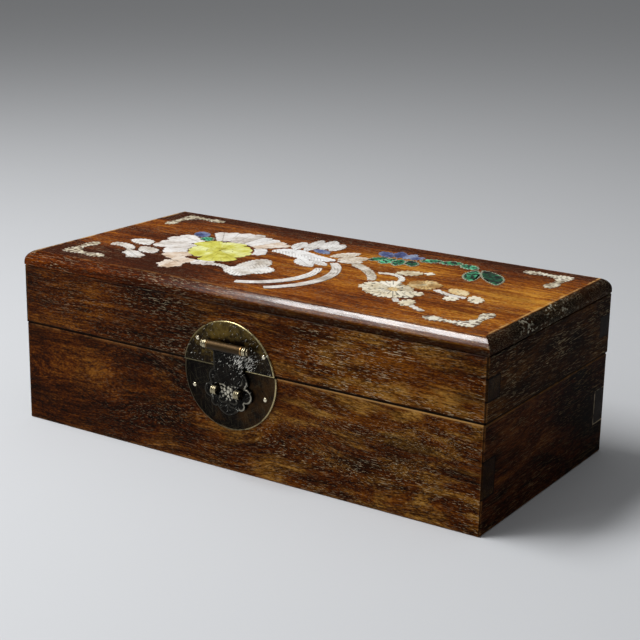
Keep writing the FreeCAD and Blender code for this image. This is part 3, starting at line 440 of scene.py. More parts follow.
# the moulded edge of the top: darker than the flat, polished along the front, black (dirt and painted shade)
# and scuffed at both ends
moulding = {
    "front": "#2c1304",
    "frontShares": (0.0, 0.6),  # how dark the front moulding gets, at its left and right
    "foot": "#0f0602",
    "end": "#090401",
    "endShares": (0.86, 0.99),   # how dark the end moulding gets, from least to most
    "wornEnd": "#bd935a",
    "chips": "#c6c1aa",
    "chippedAt": -10.0,          # the ends are chipped most about here, y in mm
    "patchSize": (16.0, 3.0),    # length along the edge and height, mm
    "chipSize": (2.4, 1.6),
    "wax": 1.0,
    "waxFrom": 96.4,             # height above which the front edge is polished
    "polish": 0.14,              # roughness of the wax
}


def mouldedPlaces(add, at, spot):
    inset = boxFaces["arrisInset"]
    high = add("eased", at.z, 91.0, 92.5)
    beyond = add("times", add("eased", at.near, inset + 0.1, inset - 1.1), high)
    sideways = add("eased", add("minus", at.acrossX, at.acrossY), 0.6, -0.6)
    atEnd = add("times", sideways, add("eased", at.acrossX, inset + 0.1, inset - 0.7))
    atEnd = add("times", atEnd, high)
    (long, wide), (chipLong, chipWide) = moulding["patchSize"], moulding["chipSize"]
    patches = add("TexNoise", add("scaled", spot, (1 / long, 1 / long, 1 / wide)), 1.0, 3.0, 0.6)
    chipSpots = add("scaled", spot, (1 / chipLong, 1 / chipLong, 1 / chipWide))
    fromWorst = add("unsigned", add("minus", at.y, moulding["chippedAt"]))
    return SimpleNamespace(beyond=beyond, atEnd=atEnd, patches=patches, fromWorst=fromWorst,
                           chipped=add("TexNoise", chipSpots, 1.0, 3.0, 0.65))


def mouldedTone(add, mould, at, colour):
    share = add("times", mould.beyond, add("eased", at.x, -110.0, 30.0, *moulding["frontShares"]))
    colour = add("painted", share, colour, moulding["front"])
    # both ends of the moulding darkened nearly black: dirt, and painted shade
    share = add("eased", mould.patches, 0.60, 0.42, *moulding["endShares"])
    share = add("times", share, add("eased", mould.fromWorst, 30.0, 55.0, 1.0, 0.8))
    share = add("times", share, mould.atEnd)
    return add("painted", share, colour, moulding["end"])


def mouldedWear(add, mould, at, ragged, colour, rough):
    inset = boxFaces["arrisInset"]
    beyond, atEnd = mould.beyond, mould.atEnd
    onFront = add("minus", beyond, atEnd, use_clamp=True)

    # the foot is in the board's own shadow line, dark with chips
    foot = add("eased", at.z, 97.6, 95.4, 0.0, 0.8)
    foot = add("times", foot, add("MapRange", at.x, -110.0, 20.0, 0.1, 1.0))
    colour = add("painted", add("times", foot, onFront), colour, moulding["foot"])
    chips = add("eased", mould.chipped, 0.55, 0.59)
    thickest = add("eased", mould.patches, 0.48, 0.57, 0.06, 1.0)
    thickest = add("times", thickest, add("eased", mould.fromWorst, 12.0, 42.0, 1.0, 0.1))
    fewer = add("timesPlus", atEnd, 0.9, add("times", foot, 0.35))
    chipped = add("times", add("times", add("times", chips, thickest), fewer), beyond)
    colour = add("painted", chipped, colour, moulding["chips"])

    # the arris is worn pale, most along the two ends
    onTop = add("eased", at.z, 100.3, 101.1)
    for across, offset, wide, share, worn in ((at.near, 0.2, 1.3, 0.5, rosewood["wornColour"]),
                                              (at.acrossX, 0.5, 0.9, 1.0, moulding["wornEnd"])):
        line = add("eased", add("unsigned", add("minus", across, inset + offset)), wide, 0.2, 0.0, share)
        line = add("times", add("times", line, ragged), onTop)
        colour = add("painted", line, colour, worn)
    rough = add("timesPlus", atEnd, 0.4, rough)

    # hands that lift the lid have polished the upper part of its front edge
    polished = add("eased", at.x, -70.0, 30.0, 0.0, moulding["wax"])
    for mask in (onFront, add("MapRange", at.y, 0.0, -60.0),
                 add("eased", at.z, moulding["waxFrom"], moulding["waxFrom"] + 1.4),
                 add("eased", mould.patches, 0.36, 0.50, 0.65, 1.0)):
        polished = add("times", polished, mask)
    return colour, rough, polished


for boardName, board in boards.items():
    nodes[boardName].data.materials.clear()
    nodes[boardName].data.materials.append(woodMaterial(boardName, board))
print("wood boards finished:", len(boards))


# inlay: mother-of-pearl and soft stones, sawn to shape, let into the board, engraved and rubbed level. Milky,
# with faint cloudy colour, and dark lines where lacquer and dirt have filled the engraving and the joints.
inlayWork = {
    "step": 0.32,        # how closely an outline is followed, mm
    "shake": 0.30,       # how much the saw wandered, mm
    "glueWide": 0.22,    # dark lacquer squeezed out round a piece, mm
    "glueHigh": 0.06,
    "rubbedWide": 0.30,  # rounded edge of each piece, mm
    "rimWide": 1.0,      # where a leaf keeps a pale edge, mm
    "roundOver": 0.14,   # how far a piece's edge is rubbed down, mm
    "settled": 0.05,     # how far a piece may lie lower than its neighbour, mm
    "farCentre": 900.0,  # a straight piece is drawn as an arc about a centre this far off
    "toneStops": (0.42, 0.60, 0.82),
    "glueColour": "#1c0e06",
    "curlWide": 3.6,     # size of the curls engraved on the corner scrolls, mm
    "lineDepth": 0.00018,
    "fadeWide": 5.0,     # size of the patches in which the engraving is worn away, mm
    "cloudWide": 9.0,    # size of the clouds of colour in a piece, mm
    "petalsFrom": -41.0,     # petals lie behind this y, corner pieces in front of it, mm
}

# each flower: its middle, and how far its petals reach from there, mm
flowers = {"peony": (-60.0, -6.0, 55.0), "blossom": (66.0, -21.0, 20.0), "small": (75.0, -3.0, 20.0)}

# each inlaid group: what it is sawn from, how its lines run, how its edge is cut, its colours from dark to
# light, and the colours of its lines, of what shows through it and of its rim
inlays = {
    "inlay_corner_scrolls": {
        "stuff": "engravedPearl", "style": "plain", "scallop": (2.6, 1.4), "grow": 0.3,
        "colours": ("#b5a789", "#e6ddc4", "#f6f0e0"), "line": "#3a2412", "pierced": "#4f2a0e", "dirt": 0.5,
        "scored": 0.0, "specks": (1.8, 0.58)},
    "inlay_peony_heart": {
        "stuff": "yellowSoapstone", "style": "petal", "flowers": ("peony",), "count": 14,
        "scallop": (6.0, 0.35), "grow": 0.34,
        "colours": ("#bcb136", "#dcd85c", "#eff0a8"), "line": "#85781f", "dirt": 0.2, "scored": 0.4},
    "inlay_white_petals": {
        "stuff": "engravedPearl", "style": "petal", "flowers": ("peony",), "count": 16, "scallop": (4.0, 0.8),
        "grow": 0.6, "colours": ("#c2b6a9", "#e7e0d9", "#fbf9f6"), "line": "#4d3a2b", "dirt": 0.3},
    "inlay_rosy_petals": {
        "stuff": "rosyShell", "style": "petal", "flowers": ("peony",), "count": 16, "scallop": (4.0, 0.8),
        "grow": 0.6, "colours": ("#b8977a", "#dec6ad", "#f0e4d6"), "line": "#6b4c30", "dirt": 0.35},
    "inlay_leaf_sprays": {
        "stuff": "engravedPearl", "style": "leaf", "spacing": 2.6, "scallop": (2.7, 1.2), "grow": 1.0,
        "colours": ("#c0b3a3", "#e6dfd5", "#faf8f4"), "line": "#4f3d2c", "dirt": 0.45},
    "inlay_bird": {
        "stuff": "engravedPearl", "style": "leaf", "spacing": 2.4, "scallop": (3.0, 0.7), "grow": 1.25,
        "colours": ("#c8c0b8", "#ece8e3", "#fcfbf9"), "line": "#54463b", "dirt": 0.3},
    "inlay_bird_coverts": {
        "stuff": "rosyShell", "style": "leaf", "spacing": 2.3, "scallop": (3.2, 0.7), "grow": 1.2,
        "colours": ("#c4ae91", "#e6d8c3", "#f6efe4"), "line": "#6b5236", "dirt": 0.35},
    "inlay_tail_ribbons": {
        "stuff": "engravedPearl", "style": "long", "spacing": 1.7, "grow": 0.15,
        "colours": ("#bfb3a5", "#e6dfd6", "#f8f5f1"), "line": "#4c3b2b", "dirt": 0.3},
    "inlay_stems": {
        "stuff": "engravedPearl", "style": "long", "spacing": 2.6, "scallop": (3.6, 0.7), "grow": 0.5,
        "colours": ("#c0b29b", "#e8e0d2", "#faf7f0"), "line": "#4c3b28", "dirt": 0.35},
    "inlay_right_blossoms": {
        "stuff": "engravedPearl", "style": "petal", "flowers": ("blossom",), "count": 12,
        "scallop": (3.0, 1.7), "grow": 0.7, "colours": ("#c9b794", "#efe3c6", "#fbf5e4"), "line": "#2c1d0e",
        "dirt": 0.85, "scored": 0.7, "specks": (1.9, 0.58)},
    "inlay_amber_blossoms": {
        "stuff": "amberSoapstone", "style": "petal", "flowers": ("small", "blossom"), "count": 12,
        "scallop": (2.4, 1.1), "grow": 0.6, "colours": ("#b48648", "#e0ba7a", "#f2deb0"), "line": "#4a2f10",
        "dirt": 0.6},
    "inlay_green_leaves": {
        "stuff": "greenSoapstone", "style": "leaf", "spacing": 2.4, "scallop": (2.4, 1.1), "grow": 1.1,
        "colours": ("#0b3321", "#1c7a4c", "#63d09c"), "line": "#010503", "rim": "#c4c2a8", "dirt": 0.95,
        "scored": 0.9, "specks": (2.3, 0.47)},
    "inlay_blue_leaves": {
        "stuff": "blueSoapstone", "style": "leaf", "spacing": 2.4, "scallop": (2.6, 0.9), "grow": 0.8,
        "colours": ("#2b3157", "#4d5a90", "#9fadc8"), "line": "#0f1226", "rim": "#8788a2", "dirt": 0.45},
}


def guideFor(points, layout):
    # the centre that a piece's lines turn about, and the radius of its middle line (0 in a flower's petal)
    middle = sum(points, Vector((0.0, 0.0))) / len(points)
    if layout["style"] == "petal":
        near = [(Vector(flowers[name][:2]), flowers[name][2]) for name in layout["flowers"]]
        centre, reach = min(near, key=lambda flower: (flower[0] - middle).length)
        if (centre - middle).length < reach and middle.y > inlayWork["petalsFrom"]:
            return centre, 0.0
    away = [point - middle for point in points]
    sxx, syy, sxy = (sum(d[i] * d[j] for d in away) for i, j in ((0, 0), (1, 1), (0, 1)))
    if layout["style"] == "long":
        # least squares circle through a curved strip's outline
        tx, ty = (sum(d[i] * d.length_squared for d in away) / 2 for i in (0, 1))
        spread = sxx * syy - sxy * sxy
        offset = Vector(((tx * syy - ty * sxy) / spread, (ty * sxx - tx * sxy) / spread))
        radius = math.sqrt(offset.length_squared + (sxx + syy) / len(points))
        if radius < inlayWork["farCentre"]:
            return middle + offset, radius
    # straight: the direction in which the piece is longest
    lean = 0.5 * math.atan2(2 * sxy, sxx - syy)
    side = Vector((-math.sin(lean), math.cos(lean)))
    if side.x > 0:
        side = -side
    return middle + side * inlayWork["farCentre"], inlayWork["farCentre"]


def outlineOf(face):
    # a piece's outline in millimetres, anticlockwise, as evenly spaced points
    corners = [Vector((v.co.x / mm, v.co.y / mm)) for v in face.verts]
    area = sum(a.x * b.y - b.x * a.y for a, b in zip(corners, corners[1:] + corners[:1]))
    if area < 0:
        corners.reverse()
    lengths = [(b - a).length for a, b in zip(corners, corners[1:] + corners[:1])]
    count = max(24, int(sum(lengths) / inlayWork["step"]))
    points, index, passed = [], 0, 0.0
    for i in range(count):
        target = sum(lengths) * i / count
        while passed + lengths[index] < target:
            passed += lengths[index]
            index += 1
        share = (target - passed) / lengths[index]
        points.append(corners[index].lerp(corners[(index + 1) % len(corners)], share))
    return points, sum(lengths)


def spreadOut(points, wide):
    # the outline moved outwards, by one width or a width at each point
    spread = []
    for i, point in enumerate(points):
        tangent = points[(i + 1) % len(points)] - points[i - 1]
        outward = Vector((tangent.y, -tangent.x)).normalized()
        spread.append(point + outward * (wide[i] if isinstance(wide, list) else wide))
    return spread


def handCut(points, girth, layout, start):
    # the outline sawn by hand: grown to close the joints, and scalloped where the motif has it
    period, deep = layout.get("scallop", (3.0, 0.0))
    waves = max(3, round(girth / period))
    widths = []
    for i, point in enumerate(points):
        wave = abs(math.sin(math.pi * waves * i / len(points) + start))
        shake = noise.noise(Vector((point.x * 0.7, point.y * 0.7, start))) * inlayWork["shake"]
        widths.append(layout["grow"] + deep * (wave - 0.62) + shake)
    return spreadOut(points, widths)


def inlayPiece(nodeName, layout, made):
    source = bmesh.new()
    source.from_mesh(nodes[nodeName].data)
    joinDoubles(source)
    top = max(v.co.z for v in source.verts)
    low = min(v.co.z for v in source.verts)
    lids = [f for f in source.faces if all(top - v.co.z < 1e-6 for v in f.verts)]
    bmesh.ops.dissolve_faces(source, faces=lids)
    lids = [f for f in source.faces if all(top - v.co.z < 1e-6 for v in f.verts)]
    lids.sort(key=lambda f: tuple(f.calc_center_median()))
    piece = bmesh.new()
    fromEdge = piece.verts.layers.float.new("fromEdge")
    tone = piece.verts.layers.float.new("tone")
    guide = piece.verts.layers.float_vector.new("guide")
    board = boxFaces["top"] * mm
    # rings from the pocket's floor up: spread in mm, height, and distance from the edge (below 0 is lacquer)
    glueWide, glueHigh = inlayWork["glueWide"], inlayWork["glueHigh"]
    levels = ((0.0, low, 0.0), (glueWide, board - glueHigh / 2 * mm, -1.0),
              (glueHigh, board + glueHigh * mm, -1.0), (0.0, top - inlayWork["roundOver"] * mm, 0.0))
    faces = []
    for number, lid in enumerate(lids):
        points, girth = outlineOf(lid)
        share = (number * 0.618 + len(nodeName) * 0.37) % 1.0
        centre, radius = guideFor(points, layout)
        cut = handCut(points, girth, layout, share * 6.0)
        rings = []
        for spread, height, edge in levels:
            ring = [piece.verts.new((p.x * mm, p.y * mm, height)) for p in spreadOut(cut, spread)]
            for vertex in ring:
                vertex[fromEdge] = edge
                vertex[tone] = share
                vertex[guide] = Vector((centre.x, centre.y, radius))
            rings.append(ring)
        for inner, outer in zip(rings, rings[1:]):
            for i, vertex in enumerate(inner):
                after = (i + 1) % len(cut)
                piece.faces.new((vertex, inner[after], outer[after], outer[i]))
        piece.faces.new(list(reversed(rings[0])))
        faces.append(piece.faces.new(rings[-1]))
    source.free()
    insets = [inlayWork["rubbedWide"]]
    if "rim" in layout:
        insets.append(inlayWork["rimWide"] - inlayWork["rubbedWide"])
    inset = 0.0
    for wide in insets:
        inset += wide
        bmesh.ops.inset_region(piece, faces=faces, thickness=wide * mm, use_even_offset=False,
                               use_boundary=True)
        for vertex in {v for f in faces for v in f.verts}:
            vertex[fromEdge] = inset
            vertex.co.z = top - vertex[tone] * inlayWork["settled"] * mm
    mesh = bpy.data.meshes.new(nodeName)
    piece.to_mesh(mesh)
    piece.free()
    newObject("set_" + nodeName, mesh, made, "lid", nodeName, smooth=False)


def engravedLines(add, layout, spot, guide):
    # distance in millimetres to the nearest engraved line
    away = add("scaled", add("VectorMath", spot, guide, operation="SUBTRACT"), (1.0, 1.0, 0.0))
    radius = add("VectorMath", away, operation="LENGTH")
    awayX, awayY, _ = add("SeparateXYZ", away).outputs
    angle = add("Math", awayY, awayX, operation="ARCTAN2")
    middleRadius = add("SeparateXYZ", guide).outputs["Z"]
    across = add("minus", radius, middleRadius)
    beside = add("unsigned", across)
    if layout["style"] == "petal":
        waves = add("unsigned", add("sine", add("times", angle, layout["count"])))
        return add("times", waves, add("times", radius, 1 / layout["count"]))
    if layout["style"] == "leaf":
        slant = add("timesPlus", beside, 0.9, add("times", angle, middleRadius))
        waves = add("sine", add("times", slant, math.pi / layout["spacing"]))
        veins = add("times", add("unsigned", waves), layout["spacing"] / math.pi)
        return add("least", veins, beside)
    if layout["style"] == "long":
        waves = add("Math", add("times", across, math.pi / layout["spacing"]), operation="COSINE")
        return add("times", add("unsigned", waves), layout["spacing"] / math.pi)
    curls = add("TexNoise", spot, 1 / inlayWork["curlWide"], 1.0)
    return add("times", add("unsigned", add("minus", curls, 0.5)), 6.0)


def inlayMaterial(nodeName, layout):
    made, add, spot = newMaterial(layout["stuff"] + "_" + nodeName.removeprefix("inlay_"))
    guide = add("Attribute", attribute_name="guide").outputs["Vector"]
    tone = add("Attribute", attribute_name="tone").outputs["Fac"]
    fromEdge = add("Attribute", attribute_name="fromEdge").outputs["Fac"]
    lines = engravedLines(add, layout, spot, guide)
    fade = add("eased", add("TexNoise", spot, 1 / inlayWork["fadeWide"], 3.0), 0.36, 0.56)
    engraved = add("times", add("eased", lines, 0.42, 0.14), fade)

    cloud = add("TexNoise", spot, 1 / inlayWork["cloudWide"], 4.0, 0.6)
    stops = zip(inlayWork["toneStops"], layout["colours"])
    colour = add("ValToRGB", add("timesPlus", tone, 0.28, cloud), stops=stops)
    wide, low = layout.get("specks", (1.2, 0.57))
    specks = add("TexNoise", add("scaled", spot, (1 / wide, 0.7 / wide, 1 / wide)), 1.0, 2.0)
    specks = add("eased", specks, low, low + 0.08, 0.0, layout["dirt"])
    for share in (specks, add("times", engraved, layout.get("scored", 0.5))):
        colour = add("painted", share, colour, layout["line"])
    if "pierced" in layout:
        # sawn through between the curls, so that the board's colour shows
        between = add("eased", lines, 0.55, 0.75, 0.0, 0.85)
        between = add("times", between, add("MapRange", fromEdge, 0.1, 0.28))
        colour = add("painted", between, colour, layout["pierced"])
    if "rim" in layout:
        pale = add("eased", fromEdge, inlayWork["rimWide"], inlayWork["rimWide"] * 0.6, 0.0, 0.75)
        colour = add("painted", pale, colour, layout["rim"])
    lacquer = add("eased", fromEdge, 0.05, -0.3, 0.0, 0.92)
    colour = add("painted", lacquer, colour, inlayWork["glueColour"])
    height = add("timesPlus", engraved, -1.0, add("times", cloud, 0.6))
    rough = add("timesPlus", cloud, 0.25, 0.22)
    return surfaced(made, add, 0.6, inlayWork["lineDepth"], height, {
        "Base Color": colour, "Roughness": rough, "IOR": 1.55, "Coat Weight": 0.15, "Coat Roughness": 0.2})


for nodeName, layout in inlays.items():
    inlayPiece(nodeName, layout, inlayMaterial(nodeName, layout))
print("inlay set:", len(inlays), "groups")


# lock and hinges: sheet brass, hammered flat and filed, gone brown and nearly black with age. Rims, relief
# and nail heads that hands rub stay bright; fine scratches and dried polish show pale.
agedBrass = {
    "dent": (11.0, 0.00030),     # width of a dent in mm and its depth in metres
    "blotch": 3.2,
    "scratch": (9.0, 0.16),      # length and width, drawn coarser than real ones so that they show
    "polishSpot": (7.5, 64.5),   # where polish has dried beside the rod's right end: middle x and z, mm
    "polishReach": (10.5, 7.5),
    "polishColour": "#e6e4da",
    "smear": (2.4, 0.5),         # length and width of a smear of polish, mm
    "toneStops": (0.36, 0.50, 0.66),
}

# each finish: colours from darkest patina to lightest, how much lighter it gets from the lock's foot to its
# top and from left to right (rubbed patina, and painted sheen), the rubbed colour, and how rough, mottled,
# scratched and chalky it is
brassFinishes = {
    "plate": {
        "colours": ("#060402", "#1a1106", "#6b5622"), "stops": (0.47, 0.61, 0.82), "patinaAndSheenLift": (0.22, -0.03),
        "rubbed": "#cdbd8b", "rough": 0.33, "mottle": 0.6, "scratches": 0.08, "chalk": 1.0, "brightCut": 0.9},
    "lowerPlate": {
        "colours": ("#040201", "#0d0703", "#2f1d08"), "patinaAndSheenLift": (-0.02, 0.12), "rubbed": "#c2b184",
        "rough": 0.35, "mottle": 0.6, "scratches": 0.08},
    "flap": {
        "colours": ("#040302", "#0a0806", "#1c1610"), "patinaAndSheenLift": (0.04, 0.06), "rubbed": "#cfc9b6",
        "rough": 0.42, "mottle": 0.5, "scratches": 0.05, "chalk": 1.0},
    "roll": {
        "colours": ("#050301", "#0b0603", "#160e05"), "rubbed": "#a58355", "rough": 0.38,
        "mottle": 0.12, "scratches": 0.02},
    "eye": {
        "colours": ("#15100a", "#3a2f1d", "#6f6040"), "rubbed": "#bcb192", "rough": 0.32,
        "mottle": 0.3, "scratches": 0.1},
    "staple": {
        "colours": ("#0e0a06", "#2a2115", "#564a31"), "rubbed": "#a99e80", "rough": 0.36,
        "mottle": 0.4, "scratches": 0.1},
    "nail": {
        "colours": ("#4a3d28", "#86764c", "#b5a374"), "rubbed": "#dfd5bb", "rough": 0.26,
        "mottle": 0.3, "scratches": 0.1},
    "hinge": {
        "colours": ("#1a140d", "#3f311b", "#6a5630"), "rubbed": "#ab9561", "rough": 0.42,
        "mottle": 0.5, "scratches": 0.35},
}


def brassMaterial(name, finish):
    made, add, spot = newMaterial("agedBrass_" + name)
    spotX, _, spotZ = add("SeparateXYZ", spot).outputs
    rub = add("Attribute", attribute_name="rub").outputs["Fac"]
    wide, deep = agedBrass["dent"]
    dents = add("TexNoise", spot, 1 / wide, 2.0)
    blotches = add("TexNoise", spot, 1 / agedBrass["blotch"], 5.0, 0.62)
    tone = add("timesPlus", dents, 0.55, add("times", blotches, 0.45))
    # painted sheen: the tone lifted towards the lock's top and right, partly rubbed patina
    for place, middle, patinaAndSheenLift in zip((spotZ, spotX), (lockZ, lockX), finish.get("patinaAndSheenLift", ())):
        if patinaAndSheenLift:
            change = add("MapRange", place, middle - lock["radius"], middle + lock["radius"], -patinaAndSheenLift, patinaAndSheenLift)
            tone = add("plus", tone, change)
    colour = add("ValToRGB", tone, stops=zip(finish.get("stops", agedBrass["toneStops"]), finish["colours"]))

    marks = []
    long, thin = agedBrass["scratch"]
    for turn in (0.5, -0.9, 1.7):
        turned = add("Mapping", spot, (turn * 40, 0.0, turn * 17), (0.0, turn, 0.0))
        turned = add("scaled", turned, (1 / long, 1 / long, 1 / thin))
        marks.append(add("eased", add("TexNoise", turned, 1.0, 1.0), 0.66, 0.72))
    scratched = add("most", add("most", *marks[:2]), marks[2])
    ragged = add("eased", blotches, 0.34, 0.56, 1.0 - finish["mottle"], 1.0)
    rubbed = add("most", add("times", rub, ragged), add("times", scratched, finish["scratches"]))
    if "brightCut" in finish:
        # the filed edge along the seam catches the light on the right
        fromCut = add("unsigned", add("minus", spotZ, boxFaces["seam"] + lockPlates["gap"] / 2))
        bright = add("eased", fromCut, 0.5, 0.2, 0.0, finish["brightCut"])
        bright = add("times", bright, add("MapRange", spotX, 2.0, 9.0, 0.35, 1.0))
        rubbed = add("most", rubbed, bright)
    colour = add("painted", rubbed, colour, finish["rubbed"])
    rough = add("timesPlus", add("minus", blotches, 0.5), finish["mottle"] * 0.8, finish["rough"])
    rough = add("timesPlus", rubbed, -0.10, rough)
    metallic = add("MapRange", rubbed, 0.0, 1.0, 0.93, 1.0)

    # polish that dried in the corners: chalky smears, thickest beside the rod's right end
    if "chalk" in finish:
        away = []
        for place, middle, reach in zip((spotX, spotZ), agedBrass["polishSpot"], agedBrass["polishReach"]):
            aside = add("times", add("minus", place, middle), 1 / reach)
            away.append(add("Math", aside, 2.0, operation="POWER"))
        zone = add("MapRange", add("plus", *away), 1.2, 0.1, 0.0, 0.130)
        long, thin = agedBrass["smear"]
        smears = add("Mapping", spot, (0.0, 0.0, 0.0), (0.0, 0.9, 0.0))
        smears = add("TexNoise", add("scaled", smears, (1 / long, 1 / long, 1 / thin)), 1.0, 3.0, 0.7)
        chalk = add("eased", add("plus", smears, zone), 0.65, 0.69, 0.0, finish["chalk"])
        colour = add("painted", chalk, colour, agedBrass["polishColour"])
        rough = add("timesPlus", chalk, 0.35, rough)
        metallic = add("minus", metallic, chalk, use_clamp=True)

    height = add("timesPlus", dents, 1.0, add("times", scratched, -0.06))
    height = add("timesPlus", blotches, 0.2 * finish["mottle"], height)
    return surfaced(made, add, 0.8, deep, height, {
        "Base Color": colour, "Metallic": metallic, "Roughness": rough})


# the round lock plate, sawn in two along the seam: a flat disc with a filed rim, in millimetres
lockPlates = {
    "flatRings": (6.0, 14.0, 22.0, 29.3),
    "rimFrom": 29.3,
    "rim": ((0.85, -0.12), (0.45, -0.12), (0.12, 0.10), (0.0, 0.42)),   # inset from the edge, and depth
    "back": -73.75,
    "face": -74.75,
    "gap": 0.3,
    "bevel": 0.1,
    "steps": 144,
}

brass = {name: brassMaterial(name, finish) for name, finish in brassFinishes.items()}


def circle(radius, steps):
    turns = [2 * math.pi * step / steps for step in range(steps)]
    return [(radius * math.cos(turn), radius * math.sin(turn)) for turn in turns]


def turnedShape(profile, centre, steps, closed=False):
    # profile of (x, radius) swung round an axis along X through centre
    points, faces = [], []
    count = len(profile)
    for x, radius in profile:
        for y, z in circle(radius, steps):
            points.append((centre[0] + x, centre[1] + y, centre[2] + z))
    for row in range(count if closed else count - 1):
        for step in range(steps):
            here, there = row * steps, (row + 1) % count * steps
            after = (step + 1) % steps
            faces.append((here + step, here + after, there + after, there + step))
    if not closed:
        faces.append(tuple(range(steps)))
        faces.append(tuple(range((count - 1) * steps, count * steps)))
    return points, faces


def lockPlate(nodeName, finish, upper):
    # half a disc with a filed, slightly raised rim
    middle = rodX if upper else lockX
    face, back, radius, steps = lockPlates["face"], lockPlates["back"], lock["radius"], lockPlates["steps"]
    rings = [(across, face) for across in lockPlates["flatRings"]]
    rings += [(radius - inset, face + lower) for inset, lower in lockPlates["rim"]] + [(radius, back)]
    points = [(middle, face, lockZ)]
    for across, y in rings:
        points += [(middle + x, y, lockZ + z) for x, z in circle(across, steps)]
    faces = []
    for step in range(steps):
        after = (step + 1) % steps
        faces.append((0, 1 + step, 1 + after))
        for low in range(1, 1 + (len(rings) - 1) * steps, steps):
            faces.append((low + step, low + steps + step, low + steps + after, low + after))
    faces.append(tuple(range(len(points) - steps, len(points))))
    mesh = meshFrom(nodeName, points, faces)
    cutZ = boxFaces["seam"] + lockPlates["gap"] / 2 * (1 if upper else -1)

    def sawThrough(shape):
        cut = bmesh.ops.bisect_plane(shape, geom=shape.verts[:] + shape.edges[:] + shape.faces[:],
                                     plane_co=(0, 0, cutZ * mm), plane_no=(0, 0, 1),
                                     clear_inner=upper, clear_outer=not upper)
        rim = [part for part in cut["geom_cut"] if isinstance(part, bmesh.types.BMEdge)]
        bmesh.ops.contextual_create(shape, geom=rim)

    def rubAt(point):
        outX, outZ = point.x - middle, point.z - lockZ
        onRim = clamped((math.hypot(outX, outZ) - lockPlates["rimFrom"]) / 0.5)
        return onRim * min(1.0, 0.6 + (0.4 * outX + 0.2 * outZ) / radius)

    reshape(mesh, sawThrough)
    setRub(mesh, rubAt)
    plate = newObject(nodeName.replace("lock_plate", "plate"), mesh, brass[finish],
                      "lid" if upper else "base", nodeName)
    edges = plate.modifiers.new("edges", "BEVEL")
    edges.width = lockPlates["bevel"] * mm
    edges.segments = 2
    edges.limit_method = "ANGLE"
    edges.angle_limit = math.radians(50)


lockPlate("lock_plate_upper", "plate", True)
lockPlate("lock_plate_lower", "lowerPlate", False)


# eyes and staples: strip rolled into a ringed loop, its legs bent apart inside the box
loops = {
    "rod_eye": {"middle": rodX, "out": lock["rodEyeX"], "wide": 2.2, "bore": 1.35, "rings": 2,
                "y": lock["rodY"], "z": lock["rodZ"], "body": "lid", "finish": "eye"},
    "staple": {"middle": lockX, "out": lock["stapleX"], "wide": 3.4, "bore": 1.5, "rings": 3,
               "y": lock["stapleY"], "z": lock["stapleZ"], "body": "base", "finish": "staple"},
}
loopShape = {
    "radius": 2.45,
    "groove": 0.38,
    "bevel": 0.12,
    "halfThick": 0.95,     # half the width of the two legs together, where they go through the wall
    "inner": -60.75,       # the wall's inner face, y
    "legThick": 1.0,
    "reach": 6.0,          # how far a leg is bent aside
    "steps": 40,
    "ringSteps": 8,
}


def ringedLoop(nodeName, loop, x):
    half, beads, radius, bevel = loop["wide"] / 2, loop["rings"], loopShape["radius"], loopShape["bevel"]
    profile = []
    count = beads * loopShape["ringSteps"]
    for step in range(count + 1):
        along = step / count
        inRing = 2 * ((along * beads) % 1.0) - 1
        swell = math.sqrt(max(0.0, 1 - inRing ** 2)) if step % loopShape["ringSteps"] else 0.0
        profile.append((-half + along * loop["wide"], radius - loopShape["groove"] * (1 - swell)))
    profile += [(half, loop["bore"] + bevel), (half - bevel, loop["bore"]), (bevel - half, loop["bore"]),
                (-half, loop["bore"] + bevel)]
    points, faces = turnedShape(profile, (x, loop["y"], loop["z"]), loopShape["steps"], closed=True)
    thick, reach, inner = loopShape["halfThick"], loopShape["reach"], loopShape["inner"]
    outer = inner + loopShape["legThick"]
    root = loop["y"] + math.sqrt((radius - 0.5) ** 2 - thick ** 2)
    legLine = [(root, thick), (inner, thick), (inner, reach), (outer, reach)]
    legLine += [(y, -z) for y, z in reversed(legLine)]
    start, count = len(points), len(legLine)
    for side in (-half + 0.25, half - 0.25):
        points += [(x + side, y, loop["z"] + z) for y, z in legLine]
    for i in range(count):
        after = (i + 1) % count
        faces.append((start + i, start + after, start + count + after, start + count + i))
    for cap in ((0, 1, 6, 7), (2, 3, 4, 5, 6, 1)):
        faces.append([start + i for i in cap])
        faces.append([start + count + i for i in reversed(cap)])
    mesh = meshFrom(nodeName, points, faces)
    reshape(mesh, joinDoubles)
    grooveAt = radius - loopShape["groove"]
    setRub(mesh, lambda p: clamped((math.hypot(p.y - loop["y"], p.z - loop["z"]) - grooveAt) / 0.3))
    newObject("ringed_" + nodeName, mesh, brass[loop["finish"]], loop["body"], nodeName)


for kind, loop in loops.items():
    for side, way in (("left", -1), ("right", 1)):
        ringedLoop(kind + "_" + side, loop, loop["middle"] + way * loop["out"])
print("plates and loops made")


# rod with a round knob at each end
rodShape = {"bar": 1.3, "half": 14.2, "knobAt": 14.95, "knobHalf": 0.8, "knob": 2.1, "rubbedFrom": 1.6,
            "steps": 40}


